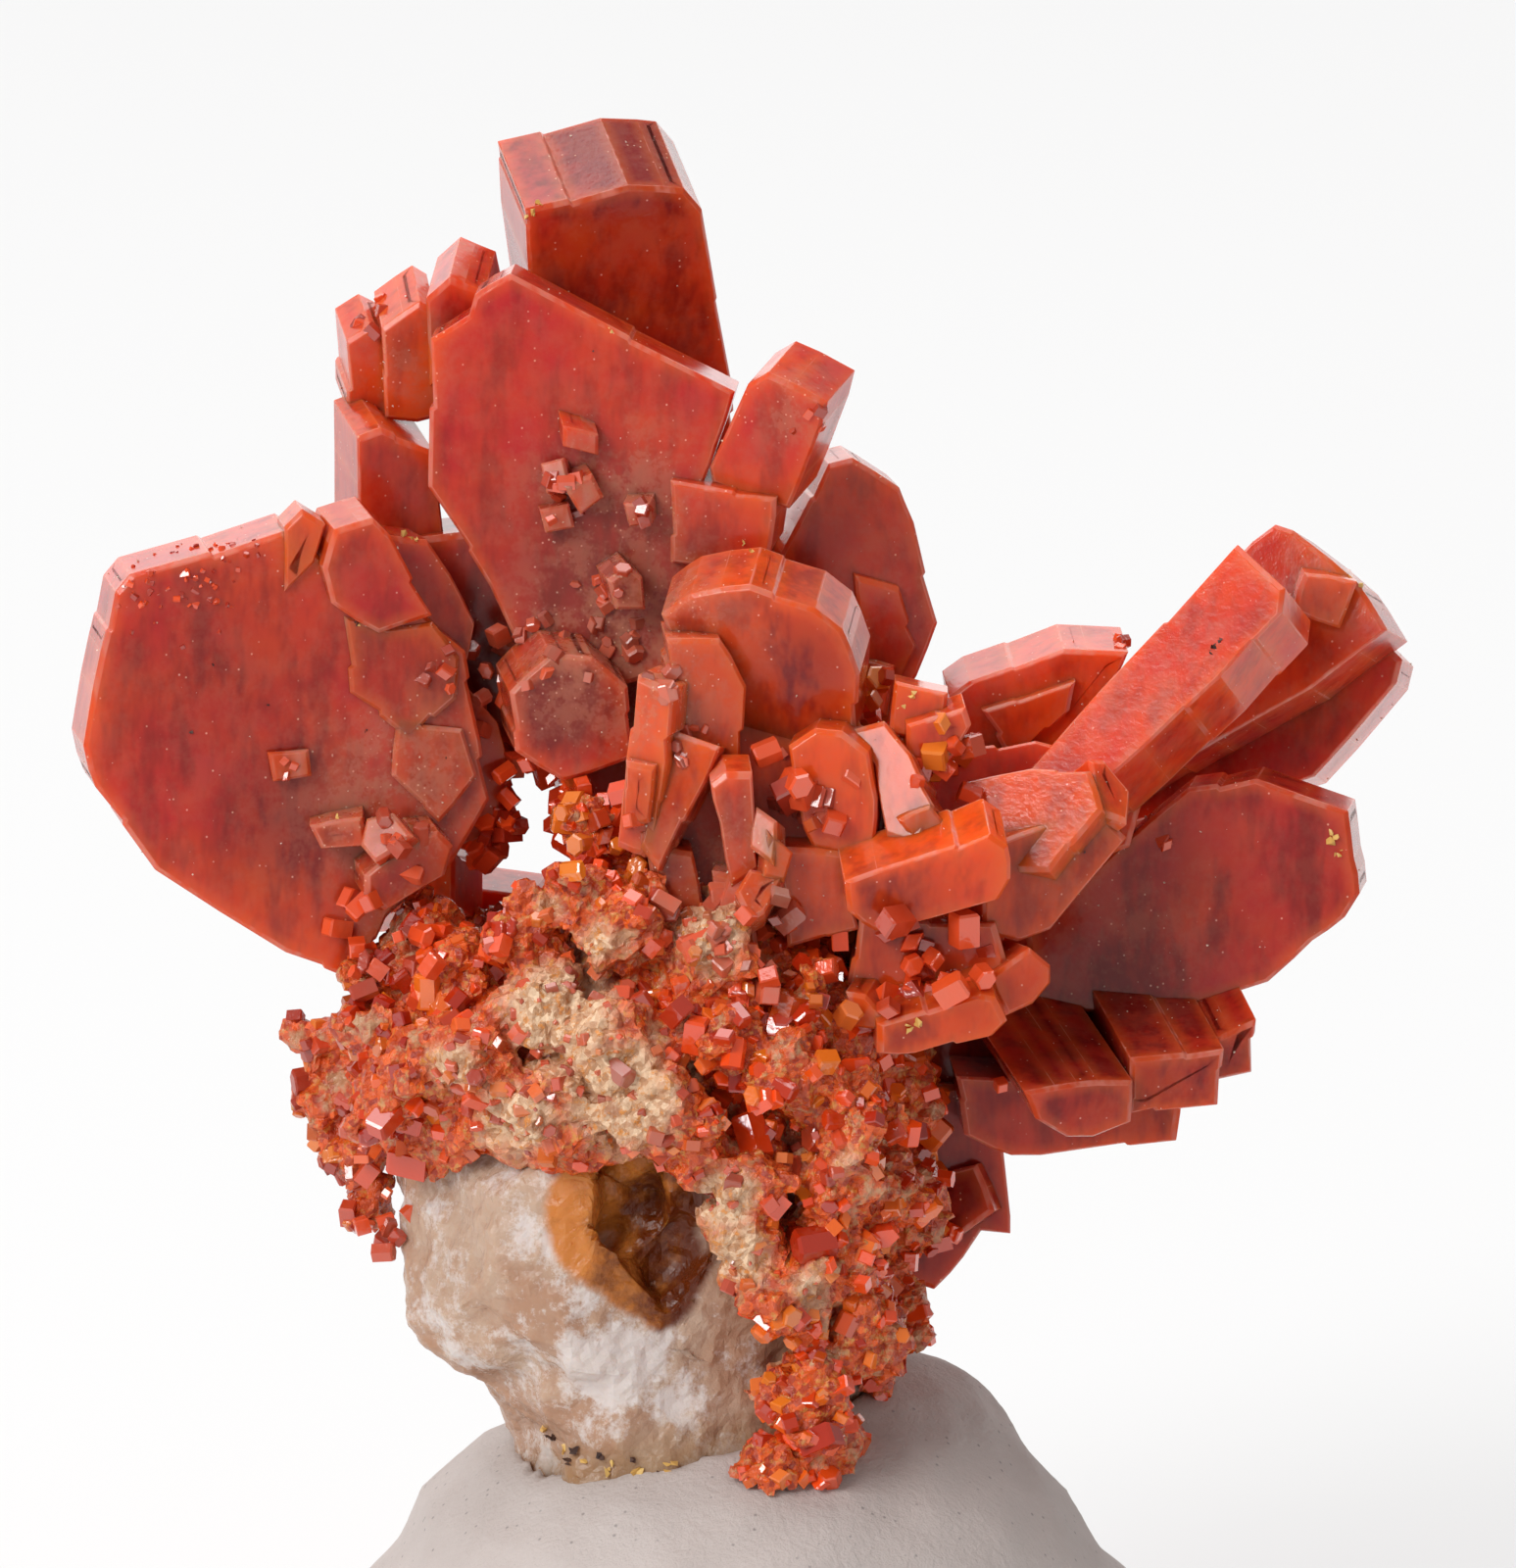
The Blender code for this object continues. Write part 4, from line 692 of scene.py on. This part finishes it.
def crumbs(things, table, name, chance):
    """Crumbs set on whatever the viewer sees at each place."""
    trees = [tree_of(thing) for thing in things]
    pile = Pile("tone")
    for across, up, size in table:
        found = seen_at(trees, across, up)
        for _ in range(3 if found else 0):
            stray = Vector([chance.uniform(-0.4, 0.4) * size for _ in range(3)])
            pile.add(crumb(found[0] + stray, size, chance), tone=chance.random())
    return pile.to_object(name)


# The calcite and the putty

# Cleavage faces of the calcite: the way each one faces (degrees) and how deep it cuts (mm)
CLEAVAGE = [(-58, 4, 0.5), (-18, 2, 0.55), (14, -14, 0.6), (48, 0, 0.25), (-36, -40, 0.7), (6, -48, 0.5),
            (40, -46, 0.3), (-88, -4, 0.25), (-72, -40, 0.4), (-40, 34, 0.4),
            (110, 0, 0.6), (150, -20, 0.8), (180, 10, 0.8), (-128, -12, 0.8)]


FOOT = 5.2                           # height in mm up to which the calcite isn't cut


def calcite():
    """The gangue: the solid's form, cut flat along cleavage faces and finely broken."""
    rock = remesh(copy_solid("calcite_matrix", "calcite_surface"), 0.1)
    roughen(rock, [(2.0, 0.5), (0.9, 0.25)])
    spots = [lie_back(vert.co) for vert in rock.data.vertices]
    # the foot, which sits in the putty, keeps its form
    shares = [min(0.96, max(0.0, (vert.co.z / METRES - FOOT) / 1.5)) for vert in rock.data.vertices]
    for turn, tip, cut in CLEAVAGE:
        normal = face_normal(turn, tip)
        limit = max(spot.dot(normal) for spot in spots) - cut
        for spot, share in zip(spots, shares):
            above = spot.dot(normal) - limit
            if above > 0.0:
                spot -= normal * above * share
    for vert, spot in zip(rock.data.vertices, spots):
        vert.co = stand_up(spot)
    roughen(rock, [(0.7, 0.07), (0.3, 0.05), (0.15, 0.03)])
    return shade(rock, False)


def putty():
    lump = remesh(copy_solid("putty_mount", "putty_surface"), 0.2)
    roughen(lump, [(2.6, 0.16), (0.7, 0.035)])
    return shade(lump, True)


# Materials

class Shader:
    """A material with a Principled BSDF, and short ways to add nodes to it."""

    def __init__(self, name, **fixed):
        self.material = bpy.data.materials.new(name)
        self.material.use_nodes = True
        self.tree = self.material.node_tree
        self.surface = self.tree.nodes["Principled BSDF"]
        for key, value in fixed.items():
            self.surface.inputs[key.replace("_", " ")].default_value = value
        place = self.tree.nodes.new("ShaderNodeTexCoord").outputs["Object"]
        self.place = self.node("ShaderNodeVectorMath", {0: place, "Scale": 1.0 / METRES},
                               operation="SCALE").outputs["Vector"]

    def node(self, kind, inputs, **settings):
        made = self.tree.nodes.new(kind)
        for key, value in settings.items():
            setattr(made, key, value)
        for key, value in inputs.items():
            if isinstance(value, bpy.types.NodeSocket):
                self.tree.links.new(value, made.inputs[key])
            else:
                made.inputs[key].default_value = value
        return made

    def mark(self, name):
        return self.node("ShaderNodeAttribute", {}, attribute_name=name).outputs["Fac"]

    def math(self, operation, first, second=0.0, third=0.0, clamp=False):
        return self.node("ShaderNodeMath", {0: first, 1: second, 2: third}, operation=operation,
                         use_clamp=clamp).outputs[0]

    def dot(self, way, offset):
        along = self.node("ShaderNodeVectorMath", {0: self.place, 1: way}, operation="DOT_PRODUCT")
        return self.math("ADD", along.outputs["Value"], offset)

    def sight(self, back=False):
        """The shaded place in sight coordinates, with or without its depth."""
        parts = {"X": self.dot((1.0, 0.0, 0.0), 0.0),
                 "Y": self.dot((0.0, SINE, COSINE), -SIGHT_BACK * SINE - SIGHT_HEIGHT * COSINE)}
        if back:
            parts["Z"] = self.dot((0.0, COSINE, -SINE), -SIGHT_BACK * COSINE + SIGHT_HEIGHT * SINE)
        return self.node("ShaderNodeCombineXYZ", parts).outputs[0]

    def spots(self, spots):
        """How strongly the shaded place lies in any of the spots."""
        place = self.sight()
        best = 0.0
        for across, up, reach, strength in spots:
            far = self.node("ShaderNodeVectorMath", {0: place, 1: (across, up, 0.0)},
                            operation="DISTANCE").outputs["Value"]
            best = self.math("MAXIMUM", best,
                             self.math("MULTIPLY", self.ramp(far, reach, 0.0), strength))
        return best

    def noise(self, scale, detail=3.0, roughness=0.5, stretch=None):
        place = self.place
        if stretch:
            place = self.node("ShaderNodeVectorMath", {0: place, 1: stretch},
                              operation="MULTIPLY").outputs["Vector"]
        return self.node("ShaderNodeTexNoise", {"Vector": place, "Scale": scale, "Detail": detail,
                                                "Roughness": roughness}).outputs["Fac"]

    def cells(self, scale, feature="F1"):
        return self.node("ShaderNodeTexVoronoi", {"Vector": self.place, "Scale": scale},
                         feature=feature)

    def hue_of(self, cells):
        """Three random numbers for each cell."""
        return self.node("ShaderNodeSeparateColor", {0: cells.outputs["Color"]}).outputs

    def ramp(self, value, low, high):
        """Runs from 0 to 1 while the value runs from low to high."""
        return self.node("ShaderNodeMapRange", {"Value": value, "From Min": low, "From Max": high},
                         interpolation_type="SMOOTHSTEP").outputs["Result"]

    def mix(self, share, first, second):
        made = self.tree.nodes.new("ShaderNodeMix")
        made.data_type = "RGBA"
        for index, value in ((0, share), (6, first), (7, second)):
            if isinstance(value, bpy.types.NodeSocket):
                self.tree.links.new(value, made.inputs[index])
            else:
                made.inputs[index].default_value = value if index == 0 else (*value, 1.0)
        return made.outputs[2]

    def bump(self, height, distance, strength=1.0, normal=None):
        inputs = {"Height": height, "Distance": distance * METRES, "Strength": strength}
        if normal is not None:
            inputs["Normal"] = normal
        return self.node("ShaderNodeBump", inputs).outputs["Normal"]

    def finish(self, colour, roughness=None, normal=None):
        self.tree.links.new(colour, self.surface.inputs["Base Color"])
        if roughness is not None:
            self.tree.links.new(roughness, self.surface.inputs["Roughness"])
        if normal is not None:
            self.tree.links.new(normal, self.surface.inputs["Normal"])
        return self.material


CRIMSON = (0.6, 0.01, 0.016)
DEEP = (0.2, 0.003, 0.003)
VERMILION = (0.84, 0.085, 0.006)
# painted glow: the lighter orange of light shining through the crystals' thin edges
RIM_GLOW = (0.88, 0.2, 0.03)
# painted highlight: the pale pink of light reflected along the crystals' edges
EDGE_HIGHLIGHT = (0.9, 0.42, 0.34)
DUST = (0.5, 0.18, 0.11)
SPECK = (0.92, 0.58, 0.42)
GLOW = (1.0, 0.13, 0.04)             # how far each colour of light travels inside


def vanadinite(name, table, warmth, darkness, film, refraction):
    """Translucent red crystal: orange rims of painted glow, orange places that are partly painted glow, painted
    highlights along the edges, painted shade in places, cloudy inside, dust and pale specks outside.
    """
    shader = Shader(name, IOR=refraction, Specular_IOR_Level=0.3, Subsurface_Weight=0.5,
                    Subsurface_Scale=0.001, Subsurface_Radius=GLOW)
    tone, rim = shader.mark("tone"), shader.mark("rim")
    dust = shader.spots(reaching(DUSTY, table))
    cloud = shader.noise(0.5, 3.0, 0.6)
    veil = shader.noise(1.6, 3.0, 0.72, (1.0, 1.0, 0.35))
    # the ORANGE spots are partly the crystals' own orange and partly a painted glow of light shining through
    # them
    heat = shader.math("ADD", shader.spots(reaching(ORANGE, table)), warmth - 1.25)
    heat = shader.math("MULTIPLY_ADD", cloud, 2.2, heat)
    heat = shader.math("MULTIPLY_ADD", tone, 0.35, heat, clamp=True)
    colour = shader.mix(heat, CRIMSON, VERMILION)
    gloom = shader.math("MULTIPLY_ADD", shader.math("FRACT", shader.math("MULTIPLY", tone, 7.3)), 0.3,
                        darkness)
    gloom = shader.math("MULTIPLY_ADD", shader.ramp(veil, 0.4, 0.7), 0.45, gloom)
    # the SHADED spots add painted shade to the darkness
    gloom = shader.math("ADD", gloom, shader.spots(reaching(SHADED, table)), clamp=True)
    colour = shader.mix(gloom, colour, DEEP)
    # the orange rim is a painted glow of light shining through the thin edges
    colour = shader.mix(shader.math("MULTIPLY", rim, 0.2), colour, RIM_GLOW)
    # painted highlight along the crystals' edges, broken up by the cloudy noise
    edge_highlight = shader.math("MULTIPLY", shader.ramp(rim, 0.94, 1.0), shader.ramp(veil, 0.42, 0.62))
    colour = shader.mix(shader.math("MULTIPLY", edge_highlight, 0.28), colour, EDGE_HIGHLIGHT)
    drift = shader.ramp(shader.noise(1.3, 4.0, 0.82), 0.4, 0.62)
    cover = shader.math("MULTIPLY_ADD", dust, 0.75, film)
    cover = shader.math("MULTIPLY", shader.math("MULTIPLY_ADD", drift, 0.8, 0.25), cover, clamp=True)
    colour = shader.mix(cover, colour, DUST)
    cells = shader.cells(9.0)
    dot = shader.math("SUBTRACT", 1.0, shader.ramp(cells.outputs["Distance"], 0.06, 0.22))
    lucky = shader.math("GREATER_THAN", shader.math("MULTIPLY_ADD", dust, 0.6, 0.1),
                        shader.hue_of(cells)[0])
    speck = shader.math("MULTIPLY", dot, lucky)
    colour = shader.mix(shader.math("MULTIPLY", speck, 0.6), colour, SPECK)
    rough = shader.math("MULTIPLY_ADD", cover, 0.35, 0.06)
    rough = shader.math("MULTIPLY_ADD", veil, 0.16, rough)
    normal = shader.bump(shader.noise(7.0, 2.0, 0.65), 0.006, 0.7)
    return shader.finish(colour, rough, normal)


def druse_material(name):
    """Small crystals from deep red to honey, some of them dusty."""
    shader = Shader(name, IOR=1.75, Coat_Weight=0.3, Coat_Roughness=0.02)
    tone, dust, warm = (shader.mark(key) for key in ("tone", "dust", "warm"))
    colour = shader.mix(shader.ramp(tone, 0.1, 1.0), (0.88, 0.075, 0.008), (0.36, 0.014, 0.003))
    colour = shader.mix(shader.ramp(warm, 0.6, 1.1), colour, (0.86, 0.22, 0.015))
    grime = shader.math("MULTIPLY", dust, shader.math("MULTIPLY_ADD", shader.noise(4.0, 4.0), 0.9, 0.1))
    colour = shader.mix(grime, colour, (0.36, 0.17, 0.11))
    rough = shader.math("MULTIPLY_ADD", dust, 0.2, 0.06)
    normal = shader.bump(shader.noise(9.0, 2.0), 0.014, 0.5)
    return shader.finish(colour, rough, normal)


def crust_material():
    """Granular crust: beige, pink and white grains where pale, glassy orange-red elsewhere."""
    shader = Shader("druse_crust_surface", IOR=1.6)
    pale = shader.mark("pale")
    blotch = shader.noise(1.5, 4.0, 0.65)
    fine = shader.noise(6.0, 4.0, 0.7)
    hues = shader.hue_of(shader.cells(9.0))
    light = shader.mix(hues[0], (0.46, 0.21, 0.09), (0.88, 0.62, 0.4))
    light = shader.mix(shader.ramp(blotch, 0.54, 0.66), light, (0.42, 0.17, 0.08))
    light = shader.mix(shader.ramp(fine, 0.52, 0.66), light, (0.7, 0.26, 0.05))
    strong = shader.mix(hues[1], (0.36, 0.026, 0.004), (0.82, 0.12, 0.01))
    strong = shader.mix(shader.ramp(fine, 0.52, 0.66), strong, (0.66, 0.26, 0.05))
    strong = shader.mix(shader.ramp(blotch, 0.52, 0.68), strong, (0.52, 0.27, 0.14))
    share = shader.ramp(shader.math("MULTIPLY_ADD", blotch, 0.9, pale), 0.65, 1.15)
    colour = shader.mix(share, strong, light)
    rough = shader.math("MULTIPLY_ADD", hues[2], 0.5, 0.06)
    normal = shader.bump(shader.noise(13.0, 3.0, 0.7), 0.05, 0.8)
    return shader.finish(colour, rough, normal)


def calcite_material():
    """Waxy gangue with beige and pink veils, frosted here and there, and a cavity with rust stains and painted
    shade that darkens it towards the right.
    """
    shader = Shader("calcite_surface", IOR=1.5, Specular_IOR_Level=0.35, Subsurface_Weight=0.4,
                    Subsurface_Scale=0.0008, Subsurface_Radius=(1.0, 0.7, 0.5))
    veil = shader.noise(0.45, 5.0, 0.66)
    colour = shader.mix(shader.ramp(veil, 0.38, 0.6), (0.53, 0.37, 0.27), (0.43, 0.24, 0.15))
    frost = shader.math("MULTIPLY_ADD", shader.spots(FROST), 0.22, shader.noise(0.8, 6.0, 0.78))
    frost = shader.ramp(frost, 0.5, 0.64)
    colour = shader.mix(shader.math("MULTIPLY", frost, 0.85), colour, (0.72, 0.65, 0.62))
    place = shader.sight(back=True)
    inside = None
    for across, up, back, radius in CAVITY:
        far = shader.node("ShaderNodeVectorMath", {0: place, 1: (across, up, back)},
                          operation="DISTANCE").outputs["Value"]
        share = shader.ramp(shader.math("MULTIPLY_ADD", veil, 0.5, far), radius * 1.25 + 0.1,
                            radius * 1.15)
        inside = share if inside is None else shader.math("MAXIMUM", inside, share)
    stain_and_shade = shader.noise(1.3, 4.0, 0.7)
    # painted shade: the cavity grows darker towards the right, under the crust's overhang
    stain_and_shade = shader.math("MULTIPLY_ADD", shader.dot((1.0, 0.0, 0.0), 2.0), -0.22, stain_and_shade)
    # rust stains in the cavity, with painted shade at the dark end of the mix
    rust_and_shade = shader.mix(shader.ramp(stain_and_shade, 0.35, 0.8), (0.12, 0.02, 0.002), (0.58, 0.2, 0.035))
    colour = shader.mix(inside, colour, rust_and_shade)
    foot = shader.ramp(shader.math("MULTIPLY_ADD", stain_and_shade, 0.9, shader.dot((0.0, SINE, COSINE), 0.0)),
                       6.2, 5.3)
    colour = shader.mix(shader.math("MULTIPLY", foot, 0.6), colour, (0.3, 0.16, 0.06))
    rough = shader.math("MULTIPLY_ADD", frost, 0.3, 0.22)
    normal = shader.bump(shader.noise(6.0, 4.0, 0.68), 0.05, 0.6)
    return shader.finish(colour, rough, normal)


def putty_material():
    """Matt warm grey putty with fine grains and a few dark specks."""
    shader = Shader("putty_surface", IOR=1.5)
    patch = shader.noise(0.7, 5.0, 0.6)
    colour = shader.mix(patch, (0.5, 0.43, 0.4), (0.64, 0.57, 0.54))
    cells = shader.cells(5.5)
    dot = shader.math("SUBTRACT", 1.0, shader.ramp(cells.outputs["Distance"], 0.08, 0.24))
    dark = shader.math("MULTIPLY", dot, shader.math("LESS_THAN", shader.hue_of(cells)[0], 0.2))
    colour = shader.mix(shader.math("MULTIPLY", dark, 0.55), colour, (0.14, 0.12, 0.12))
    rough = shader.math("MULTIPLY_ADD", patch, 0.15, 0.62)
    normal = shader.bump(shader.noise(6.0, 5.0, 0.7), 0.08, 0.7)
    return shader.finish(colour, rough, normal)


def grain_material(name, dull, bright):
    """Loose grains of dust or crumbs of rock, each with its own tint."""
    shader = Shader(name, IOR=1.5)
    colour = shader.mix(shader.mark("tone"), dull, bright)
    colour = shader.mix(shader.math("MULTIPLY", shader.noise(12.0, 3.0), 0.3), colour, dull)
    normal = shader.bump(shader.noise(20.0, 3.0), 0.01, 0.5)
    return shader.finish(colour, shader.math("MULTIPLY_ADD", shader.noise(8.0), 0.3, 0.3), normal)


def dress(piece, material, slot, node):
    piece.data.materials.clear()
    piece.data.materials.append(material)
    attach(piece, "root")
    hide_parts(node)


def build_specimen():
    chance = random.Random(SEED)
    crystals = []
    for node, (table, slot, *look) in GROUPS.items():
        piece = crystal_group(node.replace("_crystals", "_vanadinite"), table, chance)
        dress(piece, vanadinite(piece.name, table, *look), slot, node)
        crystals.append(piece)
    crust = druse_crust()
    dress(crust, crust_material(), "druse", "druse_crust")
    dress(druse_grains(crust, chance), druse_material("druse_small_crystals"), "druse", "druse_crust")
    stone = calcite()
    dress(root_crystals([*crystals, crust, stone], chance), druse_material("root_crystals"), "vanadinite_orange",
          "front_crystals")
    dust = grain_material("dust_grains", (0.62, 0.4, 0.28), (0.95, 0.85, 0.72))
    dress(dust_grains(crystals, chance), dust, "druse", "druse_crust")
    dress(stone, calcite_material(), "calcite", "calcite_matrix")
    ochre = grain_material("ochre_crumbs", (0.62, 0.33, 0.07), (0.85, 0.6, 0.2))
    dark = grain_material("dark_specks", (0.03, 0.012, 0.01), (0.12, 0.05, 0.03))
    for name, material, things, table in (
            ("ochre_crumbs", ochre, crystals, CRUMBS), ("dark_specks", dark, crystals, SPECKS),
            ("ochre_foot_grains", ochre, [stone, crust], FOOT_OCHRE),
            ("dark_foot_grains", dark, [stone, crust], FOOT_DARK)):
        dress(crumbs(things, table, name, chance), material, "druse", "druse_crust")
    dress(putty(), putty_material(), "putty", "putty_mount")


# Stage, light and camera

PHOTO_HEIGHT = 26.667                # what the photo's height spans at the specimen
CAMERA_FAR = 450.0                   # a long lens from far away keeps edges parallel
AIM = (-0.108, 12.667, 0.0)          # the middle of the photo


def stage():
    bpy.ops.mesh.primitive_plane_add(size=6.0, location=(0.0, 1.0, -0.00002))
    floor = bpy.context.object
    floor.name = "floor"
    material = bpy.data.materials.new("floor")
    material.use_nodes = True
    shader = material.node_tree.nodes["Principled BSDF"]
    shader.inputs["Base Color"].default_value = (0.5, 0.5, 0.5, 1.0)
    shader.inputs["Roughness"].default_value = 0.9
    shader.inputs["Specular IOR Level"].default_value = 0.1
    shader.inputs["Emission Color"].default_value = (1.0, 1.0, 1.0, 1.0)
    shader.inputs["Emission Strength"].default_value = 0.34
    floor.data.materials.append(material)


def softbox(name, place, aim, size, power, colour=(1.0, 1.0, 1.0)):
    light = bpy.data.lights.new(name, "AREA")
    light.shape = "RECTANGLE"
    light.size, light.size_y = size
    light.energy = power
    light.color = colour
    lamp = bpy.data.objects.new(name, light)
    lamp.location = place
    lamp.rotation_euler = (Vector(aim) - Vector(place)).to_track_quat("-Z", "Y").to_euler()
    bpy.context.collection.objects.link(lamp)


def lights():
    world = bpy.data.worlds.new("world")
    bpy.context.scene.world = world
    world.use_nodes = True
    background = world.node_tree.nodes["Background"]
    background.inputs["Color"].default_value = (1.0, 0.99, 0.985, 1.0)
    background.inputs["Strength"].default_value = 0.3
    middle = (0.0, 0.0, 0.015)
    softbox("top_light", (-0.04, 0.09, 0.42), (0.0, 0.06, 0.0), (0.4, 0.4), 1.4)
    softbox("front_light", (-0.26, -0.3, 0.24), middle, (0.2, 0.2), 1.35)
    softbox("back_light", (0.0, 0.7, 0.25), middle, (1.2, 0.5), 2.2)


def camera():
    lens = bpy.data.cameras.new("camera")
    lens.sensor_fit = "VERTICAL"
    lens.sensor_height = 36.0
    lens.lens = lens.sensor_height * CAMERA_FAR / PHOTO_HEIGHT
    lens.clip_start = 0.01
    lens.clip_end = 10.0
    eye = bpy.data.objects.new("camera", lens)
    ahead = Vector((0.0, COSINE, -SINE))
    eye.location = stand_up(AIM) - ahead * CAMERA_FAR * METRES
    eye.rotation_euler = ahead.to_track_quat("-Z", "Y").to_euler()
    bpy.context.collection.objects.link(eye)
    bpy.context.scene.camera = eye
    bpy.context.scene.view_settings.view_transform = "Standard"


build_specimen()
stage()
lights()
camera()
